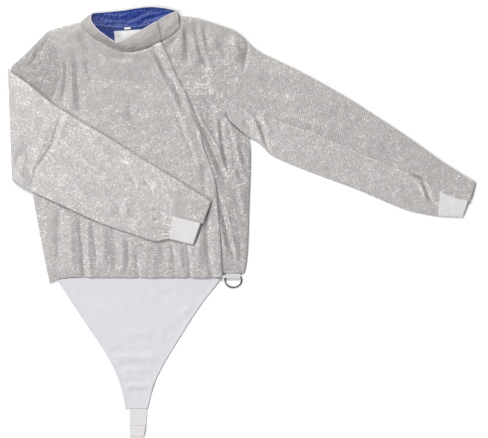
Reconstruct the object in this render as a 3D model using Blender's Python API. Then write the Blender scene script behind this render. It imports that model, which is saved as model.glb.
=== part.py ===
"""Fencing jacket of woven metal-faced cloth, laid flat front up, its right sleeve folded back."""

import math
from collections import namedtuple

import bmesh
import bpy
import numpy as np

# All sizes are in millimetres until a mesh is written. x runs to the photo's right, y up the
# body to the collar, z up from the surface that the jacket lies on. Sides are the wearer's.
CLOTH = 2.0
GAP = 0.3
LAPPED = 2 * CLOTH + GAP
FOLD_RADIUS = LAPPED / 2
ELASTIC = 1.8
INNER_CLOTH = 1.5
LINING = 1.3
LABEL = 1.0
CROWN = 8.0
CROWN_RUN = 45.0
HEM_CROWN = 0.55
HEM_RUN = 90.0
LAP_WIDTH = 24.0
PLACKET_CLOTH = 1.6
SLEEVE_CROWN = 7.0
SLEEVE_RUN = 38.0
EDGE_ROUND = 2.6
TURN_ROUND = 11.0
TURN_STEPS = (0.0, 0.9, 3.2, 6.6, 11.0)
INNER_INSET = 5.0
STRAP_FOLD = 26.0
RING_WIRE = 3.0
RING_WIDTH = 43.0
RING_DEPTH = 25.0
TAB_WIDTH = 34.0
TAB_CLOTH = 1.3
TAB_SLACK = 0.45
# Way from the outside of a front collar band to its inside.
BAND_INWARD = (0.05, 0.42, -0.9)
# Where the points of a section lie between the edge of a sleeve and its seam or other edge.
PANEL_PARTS = np.array((1.0, 0.84, 0.67, 0.5, 0.34, 0.19, 0.07))
GATHERED_PARTS = np.array((1.0, 0.93, 0.86, 0.79, 0.72, 0.65, 0.58, 0.51, 0.44, 0.36, 0.27, 0.17, 0.07))
FOREARM_PARTS = np.array((0.15, 0.32, 0.5, 0.68, 0.85, 1.0))
FOREARM_GATHERED = np.array((0.12, 0.22, 0.32, 0.41, 0.5, 0.58, 0.66, 0.74, 0.81, 0.88, 0.94, 1.0))
GATHER_DEPTH = 1.7
GATHER_LENGTH = 0.9
SLEEVE_RUN_PARTS = np.array((0.03, 0.12, 0.25, 0.4, 0.55, 0.7, 0.84, 0.96))


def table(columns, *rows):
    """Rows with named columns."""
    row = namedtuple("row", columns)
    return [row(*values) for values in rows]


# Edges of the panels, a row for each point where the edge changes its direction.
SIDE_RIGHT = table("x y", (-461, -145), (-477, -67), (-491, 7), (-506, 101), (-513, 173))
ARMHOLE_RIGHT = table(
    "x y",
    (-513, 173), (-484, 221), (-460, 281), (-444, 321), (-434, 356), (-440, 398), (-453, 429),
    (-466, 456)
)
SHOULDER_RIGHT = table("x y", (-466, 456), (-436, 466), (-401, 475), (-384, 478))
NECK_RIGHT = table(
    "x y",
    (-384, 478), (-371, 459), (-348, 441), (-319, 426), (-296, 415), (-268, 411), (-233, 417),
    (-194, 434)
)
CLOSURE = table(
    "x y",
    (-46, -133), (-51, -43), (-54, -7), (-62, 89), (-81, 151), (-93, 185), (-101, 226), (-131, 302),
    (-158, 353), (-174, 393), (-194, 434)
)
HEM_RIGHT = table("x y", (-461, -145), (-438, -137), (-419, -133), (-244, -133), (-46, -133))
SIDE_LEFT = table("x y", (7, -123), (14, -67), (18, 53), (20, 101), (21, 173), (17, 203))
ARMHOLE_LEFT = table(
    "x y",
    (17, 203), (-2, 218), (-21, 235), (-34, 252), (-32, 276), (-21, 305), (-4, 341), (6, 369),
    (12, 393), (13, 417), (5, 443)
)
NECK_LEFT = table("x y", (-194, 434), (-169, 449), (-147, 467))
SHOULDER_LEFT = table("x y", (-147, 493), (-106, 488), (-57, 473), (-20, 460), (5, 443))
NECK_BACK = table("x y", (-384, 478), (-352, 472), (-280, 467), (-208, 476), (-147, 493))

# Sleeves, a row for each section from the armhole to the hand: the upper edge, the lower edge,
# and where the seam crosses the seen side, as a part of the way from the upper to the lower edge.
SLEEVE_LEFT = table(
    "upper_x upper_y lower_x lower_y seam",
    (5, 443, 17, 203, 0.59), (39, 411, 42, 189, 0.64), (82, 389, 68, 163, 0.62),
    (140, 361, 104, 145, 0.60), (200, 329, 154, 125, 0.57), (265, 291, 212, 103, 0.56),
    (327, 251, 274, 80, 0.54), (390, 210, 342, 51, 0.50), (438, 176, 404, 27, 0.46),
    (480, 146, 471, 14, 0.55), (521, 120, 502, 12, 0.57), (562, 95, 534, 10, 0.53)
)
WRIST_LEFT = 9
SLEEVE_RIGHT = table(
    "upper_x upper_y lower_x lower_y seam",
    (-466, 456, -513, 173, 0.45), (-494, 428, -531, 157, 0.46), (-527, 395, -544, 134, 0.47),
    (-561, 366, -551, 102, 0.48), (-508, 329, -501, 72, 0.48), (-462, 291, -460, 53, 0.476),
    (-422, 264, -412, 31, 0.46), (-374, 235, -359, 6, 0.464), (-321, 204, -309, -14, 0.464),
    (-263, 167, -258, -30, 0.48), (-206, 132, -210, -46, 0.50), (-154, 101, -173, -42, 0.60),
    (-114, 76, -143, -49, 0.57), (-72, 50, -112, -56, 0.51)
)
TURN_RIGHT = 3
WRIST_RIGHT = 11

# Front collar bands, a row for each section: the seam at the neck, the free edge, how far the
# free edge stands above the seam, and how far the band bows out between them.
COLLAR_RIGHT = table(
    "low_x low_y top_x top_y rise bow",
    (-383, 481, -360, 500, 2.0, 1.0), (-371, 461, -360, 482, 9.0, 2.0),
    (-348, 442, -347, 462, 15.0, 3.0), (-319, 427, -328, 446, 16.0, 3.5),
    (-296, 416.5, -312, 435.5, 14.0, 4.0), (-270, 411.5, -296, 429, 10.5, 4.5),
    (-233, 418, -264, 444, 6.0, 5.5), (-193, 436, -203, 479, 1.5, 3.5)
)
COLLAR_LEFT = table(
    "low_x low_y top_x top_y rise bow",
    (-215, 426, -220, 468, 1.0, 2.5), (-193, 435, -203, 479, 0.5, 2.5),
    (-168, 450, -176, 496, -2.0, 2.0), (-148, 468, -153, 505, -0.5, 1.0)
)
COLLAR_BACK = table(
    "x y",
    (-360, 501), (-340, 502), (-309, 505), (-280, 508), (-251, 513), (-216, 516), (-184, 513), (-153, 506)
)
NECK_LINING = table(
    "left_x left_y right_x right_y",
    (-361, 471, -171, 483), (-350, 452, -186, 462), (-330, 425, -205, 432), (-318, 398, -222, 400)
)

# White groin panel, a row for each section from the hem to the strap.
GROIN = table(
    "left_x left_y right_x right_y",
    (-442, -139.5, -49, -135.5), (-431, -157, -66, -158), (-412, -187, -95, -195),
    (-375, -243, -132, -251), (-337, -299, -169, -311), (-311, -344, -192, -350),
    (-293, -389, -210, -389), (-284, -425, -220, -425), (-280, -447, -226, -447)
)
STRAP = table(
    "left_x left_y right_x right_y",
    (-270, -447, -227, -447), (-269, -480, -229, -480), (-268, -515, -234, -515)
)

# Largest folds of the body and the outstretched sleeve: the ends, how far the line bows to its
# left, the half width, the height (below zero for a trough) and whether it runs on past its end.
FOLDS = table(
    "x0 y0 x1 y1 bow width height runs_on",
    (-107, 240, -20, 87, -6, 9, 3.6, 0), (-60, 75, -17, -106, 5, 9, -2.8, 0),
    (-52, 258, -28, 111, 4, 9, 2.6, 0), (-393, 460, -311, 369, 0, 18, -3.2, 0),
    (-424, 403, -427, 273, 4, 9, -3.2, 0), (-409, 424, -380, 238, 8, 8, -3.0, 0),
    (-415, 380, -398, 250, 6, 8, 2.0, 0), (-138, 460, -136, 377, 3, 16, -3.4, 0),
    (-108, 480, -93, 387, 0, 8, -2.0, 0), (-25, 430, -18, 366, 0, 15, 3.0, 0),
    (-53, 428, -50, 355, 0, 8, -2.0, 0), (32, 249, 66, 169, 4, 10, -3.4, 0),
    (-36, 255, 14, 206, 3, 9, -2.6, 0), (-441, 0, -436, -133, 0, 9, -2.4, 1),
    (-405, 20, -404, -133, 0, 9, 2.2, 1), (-384, 0, -383, -133, 0, 8, -2.4, 1),
    (-318, 10, -318, -133, 0, 9, -2.2, 1), (-285, 20, -285, -133, 0, 10, 2.0, 1),
    (-262, 10, -259, -133, 0, 9, -2.2, 1), (-205, 20, -207, -133, 0, 22, 2.2, 1),
    (-166, 10, -165, -133, 0, 8, -2.2, 1), (-148, 30, -148, -133, 0, 8, 1.8, 1),
    (-124, 20, -122, -133, 0, 8, -2.2, 1), (-90, 40, -88, -133, 0, 9, -2.0, 1),
    (-489, 425, -496, 378, 0, 9, -2.2, 0), (150, 300, 210, 262, 3, 14, -1.8, 0),
    (230, 230, 300, 190, 3, 14, 1.8, 0), (330, 190, 372, 120, 2, 13, -1.8, 0)
)
# Folds of the folded-back forearm.
FOREARM_FOLDS = table(
    "x0 y0 x1 y1 bow width height runs_on",
    (-430, 270, -505, 72, 12, 14, -3.6, 1), (-470, 235, -476, 110, 0, 16, 2.4, 0),
    (-390, 190, -330, 60, 4, 16, -1.8, 0), (-350, 205, -290, 60, 3, 15, 1.6, 0),
    (-268, 108, -255, 92, 0, 8, -2.0, 0), (-222, 60, -205, -10, 2, 8, -2.2, 1),
    (-205, 58, -190, -14, 0, 8, 1.8, 1), (-190, 56, -178, -18, 0, 7, -2.2, 1)
)

# Base colour, metallic and roughness of each material.
MATERIALS = {
    "lame": ((0.55, 0.54, 0.525), 0.35, 0.5),
    "collar_cloth": ((0.46, 0.445, 0.42), 0.3, 0.55),
    "lining": ((0.025, 0.07, 0.36), 0.0, 0.75),
    "white_cloth": ((0.74, 0.735, 0.78), 0.0, 0.85),
    "elastic": ((0.8, 0.79, 0.78), 0.0, 0.8),
    "label": ((0.88, 0.88, 0.87), 0.0, 0.6),
    "tab_cloth": ((0.72, 0.69, 0.64), 0.0, 0.85),
    "steel": ((0.3, 0.3, 0.31), 1.0, 0.25),
}


def smooth(low, high, value):
    """0 below low, 1 above high, an even curve between."""
    t = np.clip((value - low) / (high - low), 0.0, 1.0)
    return t * t * (3 - 2 * t)


def through(values, at):
    """Smooth curve through rows of numbers, read at row positions."""
    values = np.asarray(values, float)
    at = np.clip(np.asarray(at, float), 0, len(values) - 1)
    i = np.minimum(at.astype(int), len(values) - 2)
    t = (at - i)[:, None]
    before = values[np.maximum(i - 1, 0)]
    a = values[i]
    b = values[i + 1]
    after = values[np.minimum(i + 2, len(values) - 1)]
    slope_a = (b - before) / 2
    slope_b = (after - a) / 2
    bend = (t**3 - 2 * t**2 + t) * slope_a + (t**3 - t**2) * slope_b
    return a + (3 * t**2 - 2 * t**3) * (b - a) + bend


def edge(fractions, *tables):
    """Points at parts of the length of an edge that runs through the tables in turn."""
    line = np.concatenate([
        through([(r.x, r.y) for r in rows], np.linspace(0, len(rows) - 1, 8 * len(rows))) for rows in tables
    ])
    steps = np.linalg.norm(np.diff(line, axis=0), axis=1)
    line = line[np.concatenate(([True], steps > 1e-6))]
    length = np.concatenate(([0.0], np.cumsum(np.linalg.norm(np.diff(line, axis=0), axis=1))))
    at = np.asarray(fractions) * length[-1]
    return np.stack([np.interp(at, length, line[:, k]) for k in (0, 1)], axis=1)


def patch(bottom, top, left, right):
    """Plan of a panel between its four edges, each from left to right or from bottom to top."""
    u = np.linspace(0, 1, len(bottom))[None, :, None]
    v = np.linspace(0, 1, len(left))[:, None, None]
    level = top[0] * (1 - u) + top[-1] * u
    across = (1 - v) * bottom[None] + v * level + v**3 * (top[None] - level)
    along = (1 - u) * left[:, None] + u * right[:, None]
    corners = (1 - v) * ((1 - u) * bottom[0] + u * bottom[-1]) + v * ((1 - u) * top[0] + u * top[-1])
    return across + along - corners


def distance(x, y, line):
    """Distance of points to a line through corner points."""
    best = np.full(np.shape(x), 1e9)
    for (ax, ay), (bx, by) in zip(line[:-1], line[1:]):
        dx = bx - ax
        dy = by - ay
        t = np.clip(((x - ax) * dx + (y - ay) * dy) / max(dx * dx + dy * dy, 1e-9), 0, 1)
        best = np.minimum(best, np.hypot(x - ax - t * dx, y - ay - t * dy))
    return best


def folds(x, y, rows):
    """Sum of the soft ridges and troughs of a table."""
    total = np.zeros(np.shape(x))
    for r in rows:
        dx = r.x1 - r.x0
        dy = r.y1 - r.y0
        length = math.hypot(dx, dy)
        t = ((x - r.x0) * dx + (y - r.y0) * dy) / length**2
        inside = np.clip(t, 0, 1)
        off = ((y - r.y0) * dx - (x - r.x0) * dy) / length - 4 * r.bow * inside * (1 - inside)
        fade = smooth(-0.05, 0.25, t) * (1.0 if r.runs_on else smooth(-0.05, 0.25, 1 - t))
        total = total + r.height * np.exp(-((off / r.width) ** 2)) * fade
    return total


def sleeve_edges(rows, at):
    """Upper edge, lower edge and seam part of a sleeve at section positions."""
    values = through([tuple(r) for r in rows], at)
    return values[:, 0:2], values[:, 2:4], values[:, 4]


def outline_of_top():
    """Lines where the top cloth of the body and the sleeves turns down to the cloth below."""
    every = np.linspace(0, 1, 24)
    upper_left, lower_left, _ = sleeve_edges(SLEEVE_LEFT, np.linspace(0, len(SLEEVE_LEFT) - 1, 40))
    folded = SLEEVE_RIGHT[: TURN_RIGHT + 1]
    upper_right, lower_right, _ = sleeve_edges(folded, np.linspace(0, TURN_RIGHT, 10))
    shoulder = edge(every, SHOULDER_RIGHT)[::-1]
    side = edge(every, SIDE_RIGHT)[::-1]
    return [
        np.concatenate((edge(every, SHOULDER_LEFT), upper_left)),
        np.concatenate((edge(every, SIDE_LEFT), lower_left)),
        np.concatenate((shoulder, upper_right, lower_right[::-1], side)),
    ]


TOP_OUTLINE = outline_of_top()
CLOSURE_LINE = edge(np.linspace(0, 1, 40), CLOSURE)
FOREARM = SLEEVE_RIGHT[TURN_RIGHT:]
FOREARM_UPPER, FOREARM_LOWER, _ = sleeve_edges(FOREARM, np.linspace(0, len(FOREARM) - 1, 30))
FOREARM_OUTLINE = np.concatenate((FOREARM_UPPER, FOREARM_LOWER[::-1], FOREARM_UPPER[:1]))


def inside(x, y, outline):
    """Whether points lie inside a closed outline."""
    found = np.zeros(np.shape(x), bool)
    for (ax, ay), (bx, by) in zip(outline[:-1], outline[1:]):
        if abs(by - ay) > 1e-9:
            crosses = ((ay > y) != (by > y)) & (x < ax + (y - ay) * (bx - ax) / (by - ay))
            found = found ^ crosses
    return found


def covered(x, y):
    """0 in the open, 1 under the folded-back forearm, whose weight flattens the folds."""
    away = distance(x, y, FOREARM_OUTLINE)
    return smooth(-24, 0, np.where(inside(x, y, FOREARM_OUTLINE), away, -away))


def body_top(x, y):
    """Height of the outside of the top cloth: body, outstretched sleeve and upper right sleeve."""
    away = np.minimum.reduce([distance(x, y, line) for line in TOP_OUTLINE])
    hem = HEM_CROWN + (1 - HEM_CROWN) * smooth(0, HEM_RUN, y + 135)
    rise = CROWN * (1 - np.exp(-away / CROWN_RUN)) * hem
    relief = folds(x, y, FOLDS) * (1 - np.exp(-away / 30.0)) * (0.6 + 0.4 * hem) * (1 - covered(x, y))
    return LAPPED + rise + np.maximum(relief, -0.55 * rise)


def front_right_top(x, y):
    """The large front lies over the small one along the closure."""
    lap = (CLOTH + 2 * GAP) * (1 - smooth(LAP_WIDTH + 8, LAP_WIDTH + 80, distance(x, y, CLOSURE_LINE)))
    return body_top(x, y) + lap


def front_left_top(x, y):
    """The small front dips a little where it runs on under the large one."""
    closure_x = np.interp(y, CLOSURE_LINE[:, 1], CLOSURE_LINE[:, 0])
    return body_top(x, y) - 2.4 * smooth(0, 9, closure_x - x)


def gathers(at, wrist, columns):
    """Every other line of points sinks toward the cuff."""
    near = smooth(wrist - GATHER_LENGTH, wrist - 0.1, np.asarray(at))[:, None]
    return GATHER_DEPTH * near * (np.arange(columns) % 2)[None]


def forearm_base(x, y):
    """What the folded-back forearm lies on."""
    return front_right_top(x, y) + GAP + 0.3 + 0.7 * smooth(470, 500, -x)


def armhole_parts(row, ends, every=1):
    """Where the sections of a sleeve meet its armhole, as parts of the way up it."""
    width = math.hypot(row.lower_x - row.upper_x, row.lower_y - row.upper_y)
    if ends:
        out = FOLD_RADIUS + SLEEVE_RUN_PARTS * (width - 2 * FOLD_RADIUS)
        parts = out / width
    else:
        upper = FOLD_RADIUS + PANEL_PARTS * (row.seam * width - 0.5 * GAP - FOLD_RADIUS)
        lower = FOLD_RADIUS + GATHERED_PARTS[::every] * ((1 - row.seam) * width - 0.5 * GAP - FOLD_RADIUS)
        parts = np.concatenate((upper / width, 1 - lower[1:] / width))
    return np.concatenate(([0.0], np.sort(1 - parts), [1.0]))


def with_height(plan, z):
    """A plan grid lifted to its height."""
    return np.concatenate((plan, np.broadcast_to(z, plan.shape[:2])[..., None]), axis=2)


def material(name):
    """One shader for each cloth or metal."""
    found = bpy.data.materials.get(name)
    if found:
        return found
    colour, metallic, roughness = MATERIALS[name]
    made = bpy.data.materials.new(name)
    made.use_nodes = True
    shader = made.node_tree.nodes["Principled BSDF"]
    shader.inputs["Base Color"].default_value = (*colour, 1.0)
    shader.inputs["Metallic"].default_value = metallic
    shader.inputs["Roughness"].default_value = roughness
    return made


def solid(name, outer, inner, look, ring=False):
    """Closed wall between two grids of points; with ring, the last column meets the first."""
    rows, columns = outer.shape[:2]
    mesh = bmesh.new()
    faces = [[[mesh.verts.new(p / 1000.0) for p in row] for row in side] for side in (outer, inner)]
    out, into = faces
    last = columns if ring else columns - 1
    for i in range(rows - 1):
        for j in range(last):
            k = (j + 1) % columns
            one = np.linalg.norm(outer[i, j] - outer[i + 1, k])
            other = np.linalg.norm(outer[i, k] - outer[i + 1, j])
            for side in (out, into):
                a, b, c, d = side[i][j], side[i][k], side[i + 1][k], side[i + 1][j]
                for face in ((a, b, c), (a, c, d)) if one <= other else ((a, b, d), (b, c, d)):
                    mesh.faces.new(face)
    for i in (0, rows - 1):
        for j in range(last):
            k = (j + 1) % columns
            mesh.faces.new((out[i][j], into[i][j], into[i][k], out[i][k]))
    for j in () if ring else (0, columns - 1):
        for i in range(rows - 1):
            mesh.faces.new((out[i][j], out[i + 1][j], into[i + 1][j], into[i][j]))
    bmesh.ops.recalc_face_normals(mesh, faces=mesh.faces)
    data = bpy.data.meshes.new(name)
    mesh.to_mesh(data)
    mesh.free()
    made = bpy.data.objects.new(name, data)
    bpy.context.scene.collection.objects.link(made)
    made.data.materials.append(material(look))
    return made


def sheet(name, plan, top, thick, look):
    """Cloth whose outside is at a height over its plan."""
    height = top(plan[..., 0], plan[..., 1]) if callable(top) else top
    bottom = height - thick
    return solid(name, with_height(plan, height), with_height(plan, bottom), look)


def plate(name, outline, low, high, look):
    """Flat cloth inside a closed outline."""
    mesh = bmesh.new()
    rims = [[mesh.verts.new((x / 1000, y / 1000, z / 1000)) for x, y in outline] for z in (low, high)]
    mesh.faces.new(rims[0])
    mesh.faces.new(rims[1])
    for i in range(len(outline)):
        k = (i + 1) % len(outline)
        mesh.faces.new((rims[0][i], rims[0][k], rims[1][k], rims[1][i]))
    bmesh.ops.recalc_face_normals(mesh, faces=mesh.faces)
    bmesh.ops.triangulate(mesh, faces=mesh.faces)
    data = bpy.data.meshes.new(name)
    mesh.to_mesh(data)
    mesh.free()
    made = bpy.data.objects.new(name, data)
    bpy.context.scene.collection.objects.link(made)
    made.data.materials.append(material(look))
    return made


def inset(line, by):
    """An open line moved to its left."""
    step = np.gradient(line, axis=0)
    step /= np.linalg.norm(step, axis=1, keepdims=True)
    return line + by * np.stack((-step[:, 1], step[:, 0]), axis=1)


def back_panel():
    """Back of the body, flat on the surface."""
    right = edge(np.linspace(0, 1, 14), SIDE_RIGHT)
    arm_right = edge(armhole_parts(SLEEVE_RIGHT[0], True), ARMHOLE_RIGHT)
    top_right = edge(np.linspace(0, 1, 5), SHOULDER_RIGHT)
    neck = edge(np.linspace(0, 1, 12), NECK_BACK)
    top_left = edge(np.linspace(0, 1, 8), SHOULDER_LEFT)
    arm_left = edge(armhole_parts(SLEEVE_LEFT[0], False, 2), ARMHOLE_LEFT)[::-1]
    left = edge(np.linspace(0, 1, 12), SIDE_LEFT)[::-1]
    hem = np.array([(2, -112), (-60, -119), (-240, -123), (-420, -126), (-455, -132)])
    runs = (right, arm_right, top_right, neck, top_left, arm_left, left[:-1])
    line = np.concatenate([run[1:] for run in runs] + [hem])
    centre = np.array((-235.0, 160.0))
    toward = centre - line
    toward /= np.linalg.norm(toward, axis=1, keepdims=True)
    plate("back_panel", line + 0.4 * toward, 0.0, CLOTH, "lame")


def fronts():
    """The two fronts and the strip along the closure."""
    parts = armhole_parts(SLEEVE_RIGHT[0], True)
    left = np.concatenate((edge(np.linspace(0, 1, 20), SIDE_RIGHT), edge(parts[1:], ARMHOLE_RIGHT)))
    height = np.concatenate((np.linspace(0, 0.5, 20), np.linspace(0.5, 1, len(parts))[1:]))
    v = height + 0.06 * np.sin(2 * math.pi * height)
    line = edge(v, CLOSURE)
    line[0] = (-46, -133)
    width = 11 + 13 * smooth(0.55, 1.0, v)
    toward_side = (inset(line, 1.0) - line) * width[:, None]
    strip = np.stack([line + k * toward_side for k in (1.0, 0.5, 0.0)], axis=1)
    strip[0, :, 1] = -133
    u = np.linspace(0, 1, 19)
    ease = (u**5)[:, None]
    top = edge(u, SHOULDER_RIGHT, NECK_RIGHT)
    top = top + ease * (strip[-1, 0] - top[-1])
    bottom = edge(u, HEM_RIGHT)
    bottom = bottom + ease * (strip[0, 0] - bottom[-1])
    plan = np.concatenate((patch(bottom, top, left, strip[:, 0]), strip[:, 1:]), axis=1)
    sheet("front_right", plan, front_right_top, CLOTH, "lame")
    height = front_right_top(strip[..., 0], strip[..., 1]) + GAP + PLACKET_CLOTH
    sheet("placket", strip, height, PLACKET_CLOTH, "lame")

    parts = armhole_parts(SLEEVE_LEFT[0], False)
    right = np.concatenate((edge(np.linspace(0, 1, 16), SIDE_LEFT), edge(parts[1:], ARMHOLE_LEFT)))
    v = np.concatenate((np.linspace(0, 0.47, 16), 0.47 + 0.53 * parts[1:] ** 1.3))
    u = np.linspace(0, 1, 11)
    left = inset(edge(v, CLOSURE), LAP_WIDTH)
    left[:, 1] = np.maximum(left[:, 1], -124)
    left[-1] = (-214, 426)
    top = edge(u, NECK_LEFT, SHOULDER_LEFT)
    top = np.concatenate((left[-1:], top[1:]))
    bottom = left[:1] + (right[:1] - left[:1]) * u[:, None]
    plan = patch(bottom, top, left, right)
    sheet("front_left", plan, front_left_top, CLOTH, "lame")


def section_point(upper, lower, out):
    """Points at distances from the upper edge toward the lower edge."""
    way = lower - upper
    way = way / np.linalg.norm(way, axis=1, keepdims=True)
    return upper[:, None] + way[:, None] * out[..., None]


def hairpin(name, rows, at, look, side, thick, armhole=None):
    """Sleeve panel round one edge of a sleeve that lies flat, from the front seam to the back seam."""
    upper, lower, seam = sleeve_edges(rows, at)
    width = np.linalg.norm(lower - upper, axis=1)
    reach = seam * width if side == "upper" else (1 - seam) * width
    reach = reach - 0.5 * GAP
    gathered = side == "lower" and at[0] < WRIST_LEFT
    radius = FOLD_RADIUS
    run = PANEL_PARTS if side == "upper" else GATHERED_PARTS
    under = run[:: 1 if side == "upper" else 2]
    sunk = gathers(at, WRIST_LEFT, len(run)) if gathered else 0.0
    start, end = (upper, lower) if side == "upper" else (lower, upper)
    grids = []
    for inward in (0.0, thick):
        top_out = radius + run[None, :] * (reach - radius)[:, None]
        arc = np.radians((100, 140, 180, 220, 260))
        arc_out = np.broadcast_to(radius + (radius - inward) * np.cos(arc), (len(at), len(arc)))
        under_out = radius + under[::-1][None, :] * (reach - radius)[:, None]
        out = np.concatenate((top_out, arc_out, under_out), axis=1)
        plan = section_point(start, end, out)
        if armhole is not None:
            part = out / width[:, None]
            part = part if side == "upper" else 1 - part
            straight = upper[:1, None] + (lower[:1] - upper[:1])[:, None] * part[:1, :, None]
            bent = edge(1 - np.clip(part[0], 0, 1), armhole)[None]
            blend = (1 - smooth(0.0, 2.6, at))[:, None, None]
            plan = plan + blend * (bent - straight)
        z = np.empty(out.shape)
        n = len(run)
        z[:, :n] = body_top(plan[:, :n, 0], plan[:, :n, 1]) - inward - sunk
        z[:, n : n + len(arc)] = radius + (radius - inward) * np.sin(arc)[None]
        z[:, n + len(arc) :] = inward
        grids.append(with_height(plan, z))
    if armhole is not None:
        for grid in grids:
            grid[0] += np.array((0.6, 0.0, 0.0))
    return solid(name, grids[0], grids[1], look)


def sleeve_left():
    """The sleeve that lies out to the side, with its hand cover and cuff."""
    at = np.concatenate((np.linspace(0, 2.6, 8), np.linspace(3.2, WRIST_LEFT, 11)))
    hairpin("top_sleeve_left", SLEEVE_LEFT, at, "lame", "upper", CLOTH, ARMHOLE_LEFT)
    hairpin("under_sleeve_left", SLEEVE_LEFT, at, "lame", "lower", CLOTH, ARMHOLE_LEFT)
    hand = np.linspace(WRIST_LEFT + 0.012, len(SLEEVE_LEFT) - 1, 5)
    hairpin("hand_cover_left", SLEEVE_LEFT, hand, "lame", "upper", CLOTH)
    hairpin("cuff_left", SLEEVE_LEFT, hand, "elastic", "lower", ELASTIC)


def sleeve_upper_right():
    """Upper part of the folded sleeve, both layers in one wall from the armhole to the fold."""
    at = np.linspace(0, TURN_RIGHT - 0.34, 8)
    upper, lower, _ = sleeve_edges(SLEEVE_RIGHT[: TURN_RIGHT + 1], at)
    width = np.linalg.norm(lower - upper, axis=1)
    radius = FOLD_RADIUS
    run = SLEEVE_RUN_PARTS
    arc = np.radians((100, 140, 180, 220, 260))
    grids = []
    for inward in (0.0, CLOTH):
        small = radius - inward
        top_out = radius + run[::-1][None] * (width - 2 * radius)[:, None]
        near = np.broadcast_to(radius + small * np.cos(arc), (len(at), len(arc)))
        under = radius + run[None] * (width - 2 * radius)[:, None]
        far = width[:, None] - radius - small * np.cos(arc)[None]
        out = np.concatenate((top_out, near, under, far[:, ::-1]), axis=1)
        part = np.clip(out / width[:, None], 0, 1)
        plan = section_point(upper, lower, out)
        straight = upper[:1, None] + (lower[:1] - upper[:1])[:, None] * part[:1, :, None]
        bent = edge(1 - part[0], ARMHOLE_RIGHT)[None]
        blend = 1 - smooth(0.0, 1.9 - 1.4 * part[:1] ** 2, at[:, None])
        plan = plan + blend[..., None] * (bent - straight)
        plan[..., 0] -= (0.5 + 1.2 * part**6) * (1 - smooth(0.4, 2.0, at))[:, None]
        z = np.empty(out.shape)
        n = len(run)
        m = n + len(arc)
        z[:, :n] = body_top(plan[:, :n, 0], plan[:, :n, 1]) - inward
        z[:, n:m] = radius + small * np.sin(arc)[None]
        z[:, m : m + n] = inward
        z[:, m + n :] = radius + small * np.sin(arc)[None, ::-1]
        grids.append(with_height(plan, z))
    solid("sleeve_upper_right", grids[0], grids[1], "lame", ring=True)


def forearm_top(plan, out, width, turn, inward):
    """Outside of the folded-back forearm, or inward of it, turned down at its edges and at the fold."""
    x = plan[..., 0]
    y = plan[..., 1]
    base = forearm_base(x, y)
    near = np.maximum(np.minimum(out, width - out), 0)
    full = LAPPED + 0.4 - inward + SLEEVE_CROWN * (1 - np.exp(-near / SLEEVE_RUN))
    full = full + folds(x, y, FOREARM_FOLDS) * (1 - np.exp(-near / 25.0))
    z = base + full * np.sqrt(1 - (1 - np.clip(near / EDGE_ROUND, 0, 1)) ** 2)
    turn_round = np.sqrt(1 - (1 - np.clip(turn / TURN_ROUND, 0, 1)) ** 2)
    return 0.3 + (z - 0.3) * turn_round


def blanket(name, at, turn, step, look, side, thick):
    """Seen half of a panel of the folded-back sleeve, from its edge to the seam."""
    upper, lower, seam = sleeve_edges(FOREARM, at - TURN_RIGHT)
    width = np.linalg.norm(lower - upper, axis=1)
    reach = (seam if side == "upper" else 1 - seam) * width - 0.5 * GAP
    start, end = (upper, lower) if side == "upper" else (lower, upper)
    part = FOREARM_GATHERED if side == "lower" else FOREARM_PARTS
    edge_out = np.broadcast_to((0.0, 0.7, EDGE_ROUND), (len(at), 3))
    out = np.concatenate((edge_out, EDGE_ROUND + part[None] * (reach - EDGE_ROUND)[:, None]), axis=1)
    plan = section_point(start, end, out)
    outer = with_height(plan, forearm_top(plan, out, width[:, None], turn[:, None], 0.0))
    deep_turn = np.where(turn < TURN_ROUND, thick + turn * (1 - thick / TURN_ROUND), turn)
    deep_out = np.where(out < EDGE_ROUND, thick + out * (1 - thick / EDGE_ROUND), out)
    upper, lower, _ = sleeve_edges(FOREARM, at - TURN_RIGHT + (deep_turn - turn) / step)
    start, end = (upper, lower) if side == "upper" else (lower, upper)
    plan = section_point(start, end, deep_out)
    inner = with_height(plan, forearm_top(plan, out, width[:, None], turn[:, None], thick))
    if side == "lower" and at[0] < WRIST_RIGHT:
        sunk = gathers(at, WRIST_RIGHT, len(part))
        outer[:, 3:, 2] -= sunk
        inner[:, 3:, 2] -= sunk
    return solid(name, outer, inner, look)


def sleeve_right():
    """The folded-back forearm over the body."""
    first = sleeve_edges(FOREARM, np.array((0.0, 1.0)))
    step = np.linalg.norm(first[0][1] - first[0][0]) * 0.5 + np.linalg.norm(first[1][1] - first[1][0]) * 0.5
    steps = np.array(TURN_STEPS) / step
    at = TURN_RIGHT + np.concatenate((steps, np.linspace(0.5, WRIST_RIGHT - TURN_RIGHT, 16)))
    turn = (at - TURN_RIGHT) * step
    blanket("top_sleeve_right", at, turn, step, "lame", "upper", CLOTH)
    blanket("under_sleeve_right", at, turn, step, "lame", "lower", CLOTH)
    hand = np.linspace(WRIST_RIGHT + 0.012, len(SLEEVE_RIGHT) - 1, 5)
    far = np.full(len(hand), 500.0)
    blanket("hand_cover_right", hand, far, step, "lame", "upper", CLOTH)
    blanket("cuff_right", hand, far, step, "elastic", "lower", ELASTIC)

    at = TURN_RIGHT + np.concatenate(([0.36], np.linspace(0.7, len(SLEEVE_RIGHT) - 1.04 - TURN_RIGHT, 18)))
    upper, lower, _ = sleeve_edges(FOREARM, at - TURN_RIGHT)
    width = np.linalg.norm(lower - upper, axis=1)
    part = np.linspace(0, 1, 9)
    out = INNER_INSET + part[None] * (width - 2 * INNER_INSET)[:, None]
    plan = section_point(upper, lower, out)
    base = forearm_base(plan[..., 0], plan[..., 1])
    thick = INNER_CLOTH
    solid("sleeve_inner_right", with_height(plan, base + thick), with_height(plan, base), "lame")


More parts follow.
